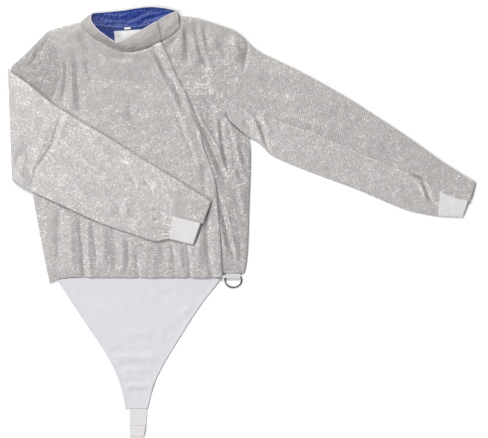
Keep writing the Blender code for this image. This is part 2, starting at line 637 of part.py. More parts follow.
def band(name, rows, at, base, steps):
    """Collar band between its seam at the neck, on the edge of the front, and its free edge."""
    values = through([tuple(r) for r in rows], at)
    low = values[:, 0:2]
    top = values[:, 2:4]
    t = np.linspace(0, 1, steps)[None, :, None]
    plan = low[:, None] * (1 - t) + top[:, None] * t
    start = base(low[:, 0], low[:, 1])[:, None]
    t = t[..., 0]
    z = start + CLOTH + 2 * GAP + values[:, 4:5] * t + values[:, 5:6] * 4 * t * (1 - t)
    outer = with_height(plan, z)
    inner = outer + CLOTH * np.array(BAND_INWARD)
    return solid(name, outer, inner, "collar_cloth")


def collar():
    """Stand collar: outside and lining behind the neck, and the two front bands."""
    t = np.linspace(0, 1, 4)[None, :, None]
    low = edge(np.linspace(0, 1, 12), NECK_BACK)[:, None]
    top = edge(np.linspace(0, 1, 12), COLLAR_BACK)[:, None]
    middle = np.array((-262.0, 0.0))
    plan = low * (1 - t) + top * t
    sheet("collar_back", plan, CLOTH, CLOTH, "collar_cloth")
    shrink = np.array((0.93, 1.0))
    t = 0.04 + 0.92 * t
    plan = (low * (1 - t) + top * t - middle) * shrink + middle
    sheet("collar_lining", plan, CLOTH + GAP + LINING, LINING, "lining")

    at = np.linspace(0, len(NECK_LINING) - 1, 7)
    values = through([tuple(r) for r in NECK_LINING], at)
    t = np.linspace(0, 1, 8)[None, :, None]
    plan = values[:, None, 0:2] * (1 - t) + values[:, None, 2:4] * t
    plan[..., 1] -= 13 * 4 * t[..., 0] * (1 - t[..., 0]) * (1 - np.linspace(0, 1, 7)[:, None]) * 0.75
    sheet("back_neck_lining", plan, CLOTH + GAP + LINING, LINING, "lining")

    band("collar_right", COLLAR_RIGHT, np.linspace(0, len(COLLAR_RIGHT) - 1, 18), front_right_top, 6)
    band("collar_left", COLLAR_LEFT, np.linspace(0, len(COLLAR_LEFT) - 1, 10), body_top, 6)

    level = CLOTH + 2 * GAP + LINING
    label = np.array([(-306, 457), (-242, 461), (-238, 424), (-303, 421)], float)
    plate("label", label, level, level + LABEL, "label")
    tab = np.array([(-281, 465), (-266, 466), (-266, 461.6), (-281, 460.6)], float)
    plate("label_tab", tab, level, level + LABEL, "label")


def groin_top(x, y):
    """Groin panel: on the back panel behind the hem, then down on the surface."""
    down = smooth(136, 178, -y)
    waves = 1.1 * np.exp(-(((y + 330) / 9.0) ** 2)) + 0.9 * np.exp(-(((y + 392) / 8.0) ** 2))
    return CLOTH + (CLOTH + GAP) * (1 - down) + waves * smooth(12, 40, -np.abs(x + 250) + 75)


def lower_pieces():
    """Groin panel, its elastic strap and the ring with its tab."""
    at = np.linspace(0, len(GROIN) - 1, 17)
    values = through([tuple(r) for r in GROIN], at)
    t = np.linspace(0, 1, 10)[None, :, None]
    plan = values[:, None, 0:2] * (1 - t) + values[:, None, 2:4] * t
    plan[..., 1] += 14 * 4 * t[..., 0] * (1 - t[..., 0]) * (1 - smooth(0.0, 1.6, at))[:, None]
    sheet("groin_panel", plan, groin_top, CLOTH, "white_cloth")

    elastic_strap()
    ring_and_tab()


def elastic_strap():
    """Elastic strap, its end folded over on itself."""
    thick = ELASTIC
    t = np.linspace(0, 1, 4)[None, :, None]
    length = STRAP[0].left_y - GAP - STRAP[-1].left_y
    radius = thick + GAP / 2
    grids = []
    for inward in (0.0, thick):
        small = radius - inward
        arc = np.radians((-90, -54, -18, 18, 54, 90))
        along = [0.0, 0.35 * length, 0.7 * length, length - radius]
        low = [(a, inward) for a in along]
        bend = [(length - radius + small * math.cos(a), radius + small * math.sin(a)) for a in arc[1:]]
        back = [(length - STRAP_FOLD / 2, 2 * radius - inward), (length - STRAP_FOLD, 2 * radius - inward)]
        path = np.array(low + bend + back)
        part = np.clip(path[:, 0] / length, 0, 1)
        side = through([tuple(r) for r in STRAP], 2 * part)
        left = np.stack((side[:, 0], STRAP[0].left_y - GAP - path[:, 0]), axis=1)
        right = np.stack((side[:, 2], STRAP[0].left_y - GAP - path[:, 0]), axis=1)
        flat = left[:, None] * (1 - t) + right[:, None] * t
        grids.append(with_height(flat, path[:, 1:2]))
    solid("elastic_strap", grids[0], grids[1], "elastic")


def ring_and_tab():
    """D ring lying in the loop of its tab at the hem."""
    centre_x = -20.4
    bar_y = -133.5
    wire = RING_WIRE / 2
    inside = wire + TAB_SLACK
    outside = inside + TAB_CLOTH
    hem_y = -123.8
    grids = []
    for radius, low in ((outside, 0.0), (inside, TAB_CLOTH)):
        arc = np.radians(np.linspace(-90, 90, 9))
        bend = [(bar_y - radius * math.cos(a), outside + radius * math.sin(a)) for a in arc]
        path = np.array([(hem_y, low)] + bend + [(hem_y, 2 * outside - low)])
        x = np.linspace(-TAB_WIDTH / 2, TAB_WIDTH / 2, 4)[None]
        grid = np.stack(np.broadcast_arrays(centre_x + x, path[:, :1], path[:, 1:2]), axis=2)
        grids.append(grid)
    solid("ring_tab", grids[0], grids[1], "tab_cloth")

    half = RING_WIDTH / 2 - wire
    depth = RING_DEPTH - wire
    corner = 3.2
    line = []
    for k in range(5):
        a = math.radians(90 + 22.5 * k)
        line.append((-half + corner + corner * math.cos(a), -corner + corner * math.sin(a)))
    for k in range(1, 14):
        a = math.pi * (1 + k / 14)
        line.append((half * math.cos(a), -6.0 + (depth - 6.0) * math.sin(a)))
    for k in range(5):
        a = math.radians(22.5 * k)
        line.append((half - corner + corner * math.cos(a), -corner + corner * math.sin(a)))
    line = np.array(line)
    slope = (outside - wire) / depth
    middle = np.stack((line[:, 0], line[:, 1], outside + line[:, 1] * slope), axis=1)
    tangent = np.roll(middle, -1, axis=0) - np.roll(middle, 1, axis=0)
    tangent /= np.linalg.norm(tangent, axis=1, keepdims=True)
    up = np.array((0.0, -slope, 1.0))
    up /= np.linalg.norm(up)
    aside = np.cross(tangent, up)
    aside /= np.linalg.norm(aside, axis=1, keepdims=True)
    mesh = bmesh.new()
    loops = []
    for m, s in zip(middle, aside):
        loop = []
        for k in range(10):
            a = 2 * math.pi * k / 10
            p = m + wire * (math.cos(a) * s + math.sin(a) * up) + np.array((centre_x, bar_y, 0.0))
            loop.append(mesh.verts.new(p / 1000))
        loops.append(loop)
    for i in range(len(loops)):
        near = loops[i]
        far = loops[(i + 1) % len(loops)]
        for k in range(10):
            mesh.faces.new((near[k], near[(k + 1) % 10], far[(k + 1) % 10], far[k]))
    bmesh.ops.recalc_face_normals(mesh, faces=mesh.faces)
    data = bpy.data.meshes.new("d_ring")
    mesh.to_mesh(data)
    mesh.free()
    made = bpy.data.objects.new("d_ring", data)
    bpy.context.scene.collection.objects.link(made)
    made.data.materials.append(material("steel"))


def centre():
    """Origin under the middle of the jacket's outline."""
    pieces = list(bpy.context.scene.objects)
    points = np.array([v.co[:] for piece in pieces for v in piece.data.vertices])
    middle = (points.min(axis=0) + points.max(axis=0)) / 2
    for piece in pieces:
        for v in piece.data.vertices:
            v.co.x -= middle[0]
            v.co.y -= middle[1]


def build():
    """The whole jacket."""
    for old in list(bpy.context.scene.objects):
        bpy.data.objects.remove(old)
    back_panel()
    fronts()
    sleeve_left()
    sleeve_upper_right()
    sleeve_right()
    collar()
    lower_pieces()
    centre()


build()
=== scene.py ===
"""Fencing jacket of metal-faced cloth, laid flat front up, its right sleeve folded back over the front."""

import math
from collections import namedtuple

import bmesh
import bpy
import numpy as np
from bpy.props import FloatProperty, FloatVectorProperty, PointerProperty
from mathutils import Matrix, Vector


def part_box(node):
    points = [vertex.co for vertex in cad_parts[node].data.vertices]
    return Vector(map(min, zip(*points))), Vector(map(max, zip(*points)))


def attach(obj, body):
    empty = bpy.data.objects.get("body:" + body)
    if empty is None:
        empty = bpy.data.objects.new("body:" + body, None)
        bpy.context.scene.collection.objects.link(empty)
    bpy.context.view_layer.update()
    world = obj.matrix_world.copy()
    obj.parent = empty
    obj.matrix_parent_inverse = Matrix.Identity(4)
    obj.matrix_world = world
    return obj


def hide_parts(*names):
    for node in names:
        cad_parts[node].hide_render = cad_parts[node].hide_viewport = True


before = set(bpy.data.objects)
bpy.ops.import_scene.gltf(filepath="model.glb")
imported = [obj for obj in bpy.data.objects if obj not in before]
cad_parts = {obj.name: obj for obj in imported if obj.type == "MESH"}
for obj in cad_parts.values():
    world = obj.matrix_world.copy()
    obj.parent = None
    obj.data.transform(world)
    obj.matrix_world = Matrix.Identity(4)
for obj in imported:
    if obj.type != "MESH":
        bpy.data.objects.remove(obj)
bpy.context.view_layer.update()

bl_info = {
    "name": "Fencing jacket",
    "version": (1, 0, 0),
    "blender": (4, 5, 0),
    "location": "3D View > Sidebar > Jacket",
    "description": "Sews a fencing jacket that lies flat: cloth, seams, collar, cuffs, groin panel and ring",
    "category": "Add Mesh",
}

# Shape sizes are in millimetres until a mesh is written. x runs to the wearer's left, y up the body
# to the collar, z up from the surface that the jacket lies on. Sides are the wearer's.
CLOTH = 2.0
GAP = 0.3
LAPPED = 2 * CLOTH + GAP
FOLD_RADIUS = LAPPED / 2
ELASTIC = 1.8
LINING = 1.3
# How far the body and the forearm bow up, and how soon behind their edges.
CROWN = 8.0
CROWN_RUN = 45.0
HEM_CROWN = 0.55
HEM_RUN = 90.0
SLEEVE_CROWN = 7.0
SLEEVE_RUN = 38.0
# Where the large front lies over the small one, and the strip along its edge.
LAP_WIDTH = 24.0
PLACKET_RISE = GAP + 1.2
# Rounding at a sleeve's edge and at its fold, and how the hidden layers and the strap lie.
EDGE_ROUND = 2.6
TURN_ROUND = 11.0
INNER_INSET = 5.0
STRAP_FOLD = 26.0
# How deep cloth is drawn down at sewn edges, seams and rims, and how far in stitches run.
EDGE_DROP = 0.6
SEAM_DIP = 0.6
ARMHOLE_DIP = 0.15
FOREARM_DIP = 1.5
NECK_GROOVE = 2.2
RIM_DROP = 0.9
RIM_RUN = 2.4
HEM_STITCHES = 7.5
GROIN_STITCHES = 7.2
# A hair past the wrist, in sections, and a distance at which the fold no longer tells.
JUST_PAST = 0.001
FAR_FROM_TURN = 500.0
# Studio, in metres but for the gap below the part.
FLOOR_DROP = 0.3
CAMERA_PLACE = (0.0050, 0.0065, 4.0)
CAMERA_LENS = 122.95
CAMERA_SENSOR = 36.0
AIR_TINT = (0.96, 0.97, 1.0, 1.0)
AIR_POWER = 0.3
# Soft lights: name, place, width and power, then their tint.
LIGHTS = (
    ("key_light", (-3.2, 8.8, 9.0), 5.2, 1450.0, (1.0, 0.992, 0.985)),
    ("side_light", (-7.6, -5.8, 8.0), 5.2, 800.0, (0.97, 0.985, 1.0))
)
# The ring, and the tape that loops round its bar.
RING_WIRE = 3.0
RING_WIDTH = 43.0
RING_DEPTH = 25.0
RING_X = -20.4
RING_BAR_Y = -133.5
TAB_WIDTH = 34.0
TAB_CLOTH = 1.3
TAB_SLACK = 0.45
LABEL = ((-306, 457), (-242, 461), (-238, 424), (-303, 421))
FULL_CIRCLE = 2 * math.pi
# Thickness of the cloth of each piece that isn't made of the outer cloth of the sidebar's size.
WALLS = {
    "back_cloth": 0.9, "closure_strip": 1.2, "right_sleeve_inner": 1.3, "collar_outside": 0.9,
    "collar_inside": 0.6, "neck_inside": 1.0, "neck_label": 0.5, "neck_label_tab": 0.35,
    "groin_cloth": 1.2, "strap_elastic": 1.6, "ring_tape": 1.1, "collar_band_right": 1.3,
    "collar_band_left": 1.3
}
# Directions of the turn of cloth round an edge, seen along the edge.
TURNED = np.radians(np.linspace(98, 262, 9))


def linear(code):
    """Linear colour of an sRGB hex value."""
    parts = [int(code[k : k + 2], 16) / 255 for k in (0, 2, 4)]
    return tuple(p / 12.92 if p <= 0.04045 else ((p + 0.055) / 1.055) ** 2.4 for p in parts)


def measure(name, description, default, least):
    """A size that a user may change, in metres."""
    return FloatProperty(name=name, description=description, default=default, min=least, unit="LENGTH")


class JacketSizes(bpy.types.PropertyGroup):
    """Sizes of cloth, thread and stitches."""

    wall: measure("Cloth", "Thickness of the outer cloth", 0.0015, 0.0004)
    cell: measure("Cell", "Spacing of the points of a piece of cloth", 0.003, 0.001)
    folds: FloatProperty(
        name="Folds", description="Height of the folds, times that in the tables", default=1.6,
        min=0.0, max=2.5
    )
    rib: measure("Rib", "Spacing of the ribs of the metal-faced cloth", 0.0054, 0.0005)
    # The bright spots are painted highlights in the colour of the metal-faced cloth.
    painted_glint: measure("Glint", "Size of the bright spots of the metal-faced cloth", 0.0025, 0.0005)
    elastic_rib: measure("Elastic rib", "Spacing of the ribs of the elastic", 0.0026, 0.0005)
    stitch: measure("Stitch", "Length of one stitch", 0.0032, 0.001)
    pitch: measure("Stitch pitch", "From one stitch to the next", 0.0044, 0.0015)
    thread: measure("Thread", "Thickness of the sewing thread", 0.0007, 0.0002)
    piping: measure("Piping", "Radius of the white piping of the collar", 0.0012, 0.0004)


def colour(name, description, code):
    """A colour that a user may change."""
    return FloatVectorProperty(
        name=name, description=description, subtype="COLOR", min=0.0, max=1.0, default=linear(code)
    )


class JacketColours(bpy.types.PropertyGroup):
    """Colours of the cloths and of the ring."""

    lame: colour("Metal-faced cloth", "Body and sleeves", "B5B1AF")
    # Colour of the glints, the painted highlights of the metal-faced cloth.
    painted_glint: colour("Glints", "Bright spots of the metal-faced cloth", "FBFAF8")
    collar: colour("Collar", "Outside of the collar", "A5A19D")
    lining: colour("Lining", "Inside of collar and back", "0D2F80")
    white: colour("White cloth", "Groin panel", "CFCDD2")
    elastic: colour("Elastic", "Cuffs and strap", "D9D6D5")
    label: colour("Label", "Label and its tab", "E4E3E2")
    tab: colour("Tape", "Tab of the ring", "CFCDCB")
    thread: colour("Thread", "Sewing thread of the outside", "BAB7B4")
    lining_thread: colour("Lining thread", "Sewing thread of the lining", "7F95CC")
    # The ring is painted darker than plated metal: painted reflection of dark surroundings.
    ring: colour("Ring", "Bright metal of the ring", "4C4C50")
    floor: colour("Floor", "What the jacket lies on", "F7F7F6")


def table(columns, *rows):
    """Rows with named columns."""
    row = namedtuple("row", columns)
    return [row(*values) for values in rows]


# Edges of the panels, a row for each point where the edge changes its direction.
SIDE_RIGHT = table("x y", (-461, -145), (-477, -67), (-491, 7), (-506, 101), (-513, 173))
ARMHOLE_RIGHT = table(
    "x y",
    (-513, 173), (-484, 221), (-460, 281), (-444, 321), (-434, 356), (-440, 398), (-453, 429),
    (-466, 456)
)
SHOULDER_RIGHT = table("x y", (-466, 456), (-436, 466), (-401, 475), (-384, 478))
NECK_RIGHT = table(
    "x y",
    (-384, 478), (-371, 459), (-348, 441), (-319, 426), (-296, 415), (-268, 411), (-233, 417),
    (-194, 434)
)
CLOSURE = table(
    "x y",
    (-46, -133), (-51, -43), (-54, -7), (-62, 89), (-81, 151), (-93, 185), (-101, 226), (-131, 302),
    (-158, 353), (-174, 393), (-194, 434)
)
HEM_RIGHT = table("x y", (-461, -145), (-438, -137), (-419, -133), (-244, -133), (-46, -133))
SIDE_LEFT = table("x y", (7, -123), (14, -67), (18, 53), (20, 101), (21, 173), (17, 203))
ARMHOLE_LEFT = table(
    "x y",
    (17, 203), (-2, 218), (-21, 235), (-34, 252), (-32, 276), (-21, 305), (-4, 341), (6, 369),
    (12, 393), (13, 417), (5, 443)
)
NECK_LEFT = table("x y", (-194, 434), (-169, 449), (-147, 467))
SHOULDER_LEFT = table("x y", (-147, 493), (-106, 488), (-57, 473), (-20, 460), (5, 443))
HEM_BACK = table("x y", (-461, -145), (-455, -133), (-420, -127), (-240, -124), (-60, -120), (7, -123))
NECK_BACK = table("x y", (-384, 478), (-352, 472), (-280, 467), (-208, 476), (-147, 493))

# Sleeves, a row for each section from the armhole to the hand: the upper edge, the lower edge,
# and where the seam crosses the seen side, as a part of the way from the upper to the lower edge.
SLEEVE_LEFT = table(
    "upper_x upper_y lower_x lower_y seam",
    (5, 443, 17, 203, 0.59), (39, 411, 42, 189, 0.64), (82, 389, 68, 163, 0.62),
    (140, 361, 104, 145, 0.60), (200, 329, 154, 125, 0.57), (265, 291, 212, 103, 0.56),
    (327, 251, 274, 80, 0.54), (390, 210, 342, 51, 0.50), (438, 176, 404, 27, 0.46),
    (480, 146, 471, 14, 0.55), (521, 120, 502, 12, 0.57), (562, 95, 534, 10, 0.53)
)
WRIST_LEFT = 9
SLEEVE_RIGHT = table(
    "upper_x upper_y lower_x lower_y seam",
    (-466, 456, -513, 173, 0.45), (-494, 428, -531, 157, 0.46), (-527, 395, -544, 134, 0.47),
    (-561, 366, -551, 102, 0.48), (-508, 329, -501, 72, 0.48), (-462, 291, -460, 53, 0.476),
    (-422, 264, -412, 31, 0.46), (-374, 235, -359, 6, 0.464), (-321, 204, -309, -14, 0.464),
    (-263, 167, -258, -30, 0.48), (-206, 132, -210, -46, 0.50), (-154, 101, -173, -42, 0.60),
    (-114, 76, -143, -49, 0.57), (-72, 50, -112, -56, 0.51)
)
TURN_RIGHT = 3
WRIST_RIGHT = 11

# Front collar bands, a row for each section: the seam at the neck, the free edge, how far the
# free edge stands above the seam, and how far the band bows out between them.
COLLAR_RIGHT = table(
    "low_x low_y top_x top_y rise bow",
    (-383, 481, -360, 500, 2.0, 1.0), (-371, 461, -360, 482, 9.0, 2.0),
    (-348, 442, -347, 462, 15.0, 3.0), (-319, 427, -328, 446, 16.0, 3.5),
    (-296, 416.5, -312, 435.5, 14.0, 4.0), (-270, 411.5, -296, 429, 10.5, 4.5),
    (-233, 418, -264, 444, 6.0, 5.5), (-193, 436, -203, 479, 1.5, 3.5)
)
COLLAR_LEFT = table(
    "low_x low_y top_x top_y rise bow",
    (-215, 426, -220, 468, 1.0, 2.5), (-193, 435, -203, 479, 0.5, 2.5),
    (-168, 450, -176, 496, -2.0, 2.0), (-148, 468, -153, 505, -0.5, 1.0)
)
COLLAR_BACK = table(
    "x y",
    (-360, 501), (-340, 502), (-309, 505), (-280, 508), (-251, 513), (-216, 516), (-184, 513), (-153, 506)
)
NECK_LINING = table(
    "left_x left_y right_x right_y",
    (-361, 471, -171, 483), (-350, 452, -186, 462), (-330, 425, -205, 432), (-318, 398, -222, 400)
)

# White groin panel, a row for each section from the hem to the strap.
GROIN = table(
    "left_x left_y right_x right_y",
    (-442, -139.5, -49, -135.5), (-431, -157, -66, -158), (-412, -187, -95, -195),
    (-375, -243, -132, -251), (-337, -299, -169, -311), (-311, -344, -192, -350),
    (-293, -389, -210, -389), (-284, -425, -220, -425), (-280, -447, -226, -447)
)
STRAP = table(
    "left_x left_y right_x right_y",
    (-270, -447, -227, -447), (-269, -480, -229, -480), (-268, -515, -234, -515)
)

# Creases, a row for each: height, below zero for a trough, half width on the left and on the right of
# its line, whether it runs on past its end, and the points of the line.
BODY_CREASES = table(
    "height left right runs_on points",
    # right chest, below the collar and beside the armhole
    (-3.2, 9, 14, 0, ((-393, 461), (-364, 413), (-340, 393), (-311, 369))),
    (-2.4, 8, 6, 0, ((-430, 402), (-419, 366), (-423, 322), (-431, 276))),
    (-2.5, 5, 9, 0, ((-406, 424), (-396, 386), (-391, 332), (-385, 268), (-376, 236))),
    (1.5, 6, 7, 0, ((-413, 400), (-408, 350), (-405, 300), (-402, 256))),
    (-2.0, 7, 7, 0, ((-373, 395), (-366, 361), (-355, 325))),
    (-1.8, 20, 18, 0, ((-340, 393), (-297, 345), (-246, 329), (-196, 293))),
    (1.4, 16, 16, 0, ((-345, 350), (-320, 310), (-290, 270), (-255, 245))),
    (-1.2, 10, 10, 0, ((-270, 300), (-262, 250), (-240, 200), (-236, 175))),
    (1.2, 14, 14, 0, ((-225, 300), (-205, 255), (-185, 215))),
    (-1.2, 7, 7, 0, ((-330, 400), (-310, 393), (-285, 391), (-258, 396))),
    # beside and below the closure
    (-2.4, 4, 5, 0, ((-232, 414), (-212, 409), (-198, 389), (-184, 361), (-165, 338), (-152, 308),
                     (-131, 262))),
    (1.8, 5, 5, 0, ((-240, 400), (-215, 392), (-200, 368), (-184, 335), (-168, 310), (-150, 270),
                    (-134, 232))),
    (-1.6, 6, 6, 0, ((-168, 290), (-152, 250), (-135, 205), (-118, 165), (-104, 125))),
    (1.6, 7, 7, 0, ((-148, 262), (-134, 225), (-120, 190), (-106, 150), (-96, 110))),
    (-4.2, 4, 7, 0, ((-128, 300), (-107, 240), (-89, 216), (-82, 199), (-71, 180), (-63, 160), (-52, 134),
                     (-43, 116), (-34, 100), (-20, 86))),
    (3.0, 6, 8, 0, ((-118, 300), (-97, 244), (-79, 214), (-62, 184), (-50, 152), (-38, 122), (-26, 104))),
    (2.2, 7, 6, 0, ((-124, 269), (-112, 240), (-95, 205), (-83, 170), (-71, 137), (-59, 105), (-47, 77))),
    (-2.8, 14, 12, 0, ((-90, 300), (-69, 254), (-54, 225), (-50, 200))),
    (-2.4, 5, 7, 0, ((-52, 262), (-46, 188), (-39, 155), (-28, 109))),
    (2.6, 6, 6, 0, ((-64, 274), (-56, 219), (-48, 165), (-38, 123))),
    (-2.4, 5, 5, 0, ((-35, 240), (-24, 205), (-16, 170))),
    (2.0, 6, 7, 0, ((-32, 244), (-18, 205), (-4, 149), (9, 113))),
    (-2.6, 5, 5, 0, ((-14, 126), (0, 108), (14, 86))),
    (-1.8, 6, 6, 0, ((-8, 190), (4, 160), (12, 128))),
    (1.4, 14, 14, 0, ((-120, 330), (-90, 315), (-60, 290))),
    # wearer's left shoulder
    (-3.4, 10, 12, 0, ((-136, 478), (-130, 433), (-126, 393), (-114, 366))),
    (2.4, 5, 6, 0, ((-143, 476), (-142, 436), (-141, 388))),
    (-4.0, 3, 6, 0, ((-112, 490), (-106, 452), (-98, 415), (-86, 384), (-74, 356))),
    (2.4, 4, 4, 0, ((-102, 480), (-96, 444), (-90, 410), (-78, 382))),
    (-2.8, 3, 5, 0, ((-90, 484), (-86, 452), (-78, 420))),
    (-1.6, 5, 4, 0, ((14, 446), (13, 416), (7, 386), (4, 356))),
    (-2.4, 4, 5, 0, ((-54, 470), (-38, 458), (-20, 441))),
    (-2.2, 6, 6, 0, ((-60, 442), (-45, 413), (-30, 380))),
    (-1.4, 4, 4, 0, ((-70, 400), (-62, 372), (-60, 350))),
    (3.0, 12, 10, 0, ((-24, 440), (-12, 412), (-8, 384))),
    (1.8, 10, 10, 0, ((-118, 440), (-112, 400), (-104, 370))),
    (-2.0, 3, 3, 0, ((-174, 407), (-165, 425), (-155, 445))),
    (-1.6, 3, 3, 0, ((-165, 411), (-158, 430), (-152, 449))),
    (-1.6, 3, 3, 0, ((-184, 413), (-172, 427), (-160, 438))),
    (1.4, 3, 3, 0, ((-170, 408), (-160, 427), (-152, 446))),
    (-1.6, 8, 8, 0, ((-140, 360), (-110, 345), (-85, 330), (-70, 300))),
    # below the forearm, down to the hem
    (-2.2, 13, 9, 0, ((-436, 45), (-440, -30), (-438, -100), (-434, -133))),
    (1.6, 7, 8, 0, ((-408, 30), (-408, -50), (-402, -128))),
    (-2.6, 8, 4, 1, ((-392, 35), (-387, -20), (-381, -80), (-378, -133))),
    (1.5, 5, 5, 1, ((-369, 20), (-368, -60), (-362, -130))),
    (-1.9, 3, 5, 0, ((-359, 10), (-351, -50), (-345, -112))),
    (1.1, 6, 6, 0, ((-334, 5), (-329, -60), (-333, -125))),
    (-1.6, 8, 11, 0, ((-312, 0), (-303, -60), (-299, -133))),
    (1.0, 6, 6, 0, ((-288, -20), (-284, -80), (-290, -130))),
    (-1.7, 3, 4, 0, ((-274, -34), (-270, -76), (-275, -126))),
    (-1.4, 4, 5, 1, ((-252, -60), (-250, -98), (-246, -133))),
    (1.0, 8, 8, 0, ((-230, -50), (-224, -130))),
    (-1.4, 8, 9, 0, ((-196, -45), (-189, -75), (-193, -112))),
    (1.2, 6, 9, 1, ((-212, -66), (-209, -133))),
    (-1.8, 3, 5, 0, ((-168, -45), (-162, -84), (-159, -126))),
    (1.2, 5, 5, 0, ((-150, -45), (-146, -80), (-144, -122))),
    (-1.7, 4, 5, 1, ((-135, -40), (-127, -78), (-122, -133))),
    (1.3, 7, 7, 0, ((-106, 30), (-102, -40), (-104, -128))),
    (-2.6, 8, 7, 1, ((-88, 40), (-83, -20), (-80, -75), (-71, -128))),
    (-1.6, 7, 7, 0, ((-92, 140), (-88, 90), (-86, 50))),
    (2.0, 6, 6, 0, ((-70, 74), (-60, 36), (-50, -8), (-41, -50), (-33, -90))),
    (-3.4, 5, 7, 0, ((-62, 84), (-50, 41), (-41, 9), (-33, -31), (-27, -55), (-19, -80), (-16, -112))),
    (2.0, 6, 6, 0, ((-50, 64), (-38, 30), (-29, -10), (-20, -48), (-8, -90))),
    (-1.8, 6, 6, 0, ((-6, -20), (-3, -60), (-2, -112))),
    (-1.6, 7, 7, 0, ((-20, 70), (-6, 40), (2, 0))),
    (1.4, 8, 8, 0, ((-10, 90), (4, 50), (10, 10))),
    # upper part of the folded sleeve
    (-2.4, 5, 6, 0, ((-486, 425), (-491, 402), (-496, 378))),
    (-1.8, 4, 4, 0, ((-468, 434), (-477, 417), (-480, 400))),
    (1.8, 6, 6, 0, ((-500, 420), (-508, 395), (-518, 370))),
    # outstretched sleeve
    (-4.6, 2.5, 6, 1, ((22, 262), (33, 252), (47, 230), (57, 197), (66, 170), (70, 154))),
    (1.6, 5, 5, 0, ((44, 262), (58, 238), (70, 206))),
    (4.4, 9, 4, 1, ((18, 256), (28, 242), (40, 216), (50, 186), (60, 156))),
    (-2.2, 5, 5, 0, ((2, 246), (14, 232), (28, 216))),
    (1.8, 10, 8, 0, ((60, 268), (120, 246), (190, 222), (250, 196))),
    (-1.6, 14, 14, 0, ((40, 350), (80, 320), (130, 296))),
    (1.4, 16, 16, 0, ((60, 378), (120, 350), (180, 318))),
    (-1.4, 10, 10, 0, ((190, 131), (230, 118), (272, 102))),
    (-1.4, 12, 12, 0, ((200, 270), (250, 236), (300, 204))),
    (1.2, 14, 14, 0, ((300, 250), (350, 214), (396, 180))),
    (-1.4, 12, 12, 0, ((330, 190), (358, 150), (372, 118))),
    (1.2, 9, 9, 0, ((300, 112), (350, 96), (400, 78))),
    (-4.0, 2.5, 4, 0, ((398, 118), (417, 110), (434, 99), (445, 74), (452, 55), (464, 46), (480, 43))),
    (2.2, 4, 3, 0, ((412, 100), (428, 88), (437, 66), (442, 46)))
)
# Creases of the folded-back forearm.
FOREARM_CREASES = table(
    "height left right runs_on points",
    (-1.7, 5, 3, 1, ((-427, 268), (-438, 237), (-449, 196), (-463, 168), (-478, 146), (-493, 124),
                     (-502, 90))),
    (1.0, 10, 10, 0, ((-455, 260), (-470, 215), (-484, 170), (-500, 130))),
    (1.0, 7, 7, 0, ((-416, 255), (-431, 215), (-446, 180))),
    (-1.8, 3, 3, 0, ((-452, 202), (-418, 174), (-371, 140), (-345, 122))),
    (1.4, 5, 5, 0, ((-440, 206), (-405, 178), (-362, 148))),
    (-1.6, 5, 5, 0, ((-404, 240), (-380, 215), (-352, 192))),
    (1.6, 7, 7, 0, ((-390, 238), (-360, 212), (-330, 188))),
    (-1.4, 8, 8, 0, ((-330, 180), (-300, 158), (-262, 140))),
    (-2.4, 4, 4, 0, ((-267, 106), (-258, 97), (-248, 88))),
    (-1.6, 5, 5, 0, ((-240, 98), (-205, 75), (-170, 50))),
    (1.4, 5, 5, 0, ((-228, 102), (-196, 82), (-160, 60))),
    (-1.4, 10, 10, 0, ((-470, 100), (-420, 76), (-370, 50), (-330, 38))),
    (1.2, 10, 10, 0, ((-450, 120), (-400, 90), (-350, 66))),
    (-1.2, 8, 8, 0, ((-300, 60), (-296, 30), (-290, 5))),
    (1.2, 8, 8, 0, ((-280, 60), (-276, 30), (-270, 0))),
    (-1.4, 6, 6, 0, ((-330, 20), (-290, 8), (-250, -6))),
    (-2.2, 3, 3, 1, ((-216, 34), (-200, 26), (-184, 12))),
    (-2.0, 3, 3, 1, ((-212, 10), (-196, 2), (-176, -6))),
    (-1.8, 3, 3, 1, ((-214, -14), (-198, -18), (-174, -26)))
)
GROIN_CREASES = table(
    "height left right runs_on points",
    (-1.3, 5, 6, 0, ((-318, -314), (-290, -308), (-250, -311), (-200, -304))),
    (1.0, 5, 5, 0, ((-322, -326), (-280, -321), (-240, -324), (-196, -318))),
    (-1.1, 5, 5, 0, ((-300, -346), (-262, -340), (-215, -345))),
    (0.9, 5, 5, 0, ((-296, -360), (-262, -356), (-214, -360))),
    (-1.1, 4, 4, 0, ((-284, -386), (-256, -381), (-222, -388))),
    (0.9, 4, 4, 0, ((-284, -398), (-255, -394), (-224, -399))),
    (-0.9, 4, 4, 0, ((-280, -410), (-255, -407), (-226, -411))),
    (-1.0, 6, 6, 0, ((-262, -216), (-238, -226), (-214, -238))),
    (1.0, 7, 7, 0, ((-290, -262), (-250, -270), (-205, -262))),
    (-1.1, 5, 5, 0, ((-202, -188), (-182, -176), (-158, -166))),
    (-1.2, 3, 4, 0, ((-154, -246), (-142, -240), (-132, -230))),
    (1.0, 5, 5, 0, ((-150, -222), (-134, -212), (-118, -200))),
    (-1.0, 5, 5, 0, ((-186, -268), (-170, -262), (-156, -250))),
    (-0.9, 7, 7, 0, ((-400, -172), (-370, -180), (-330, -178))),
    (0.9, 8, 8, 0, ((-360, -200), (-320, -215), (-290, -240)))
)
LINING_CREASES = table(
    "height left right runs_on points",
    (-1.6, 2, 3, 0, ((-346, 497), (-320, 488), (-296, 486), (-270, 492))),
    (1.2, 3, 3, 0, ((-336, 499), (-312, 494), (-290, 492), (-262, 500))),
    (-1.6, 2, 3, 0, ((-285, 482), (-258, 486), (-240, 497), (-222, 500))),
    (1.2, 3, 2, 0, ((-276, 480), (-248, 484), (-226, 494), (-206, 496))),
    (-1.5, 2, 2, 0, ((-244, 486), (-222, 486), (-198, 494), (-178, 500))),
    (-1.2, 2, 3, 0, ((-316, 477), (-296, 476), (-270, 475))),
    (-1.2, 2, 2, 0, ((-232, 508), (-210, 505), (-188, 506)))
)


def smooth(low, high, value):
    """0 below low, 1 above high, an even curve between."""
    t = np.clip((value - low) / (high - low), 0.0, 1.0)
    return t * t * (3 - 2 * t)


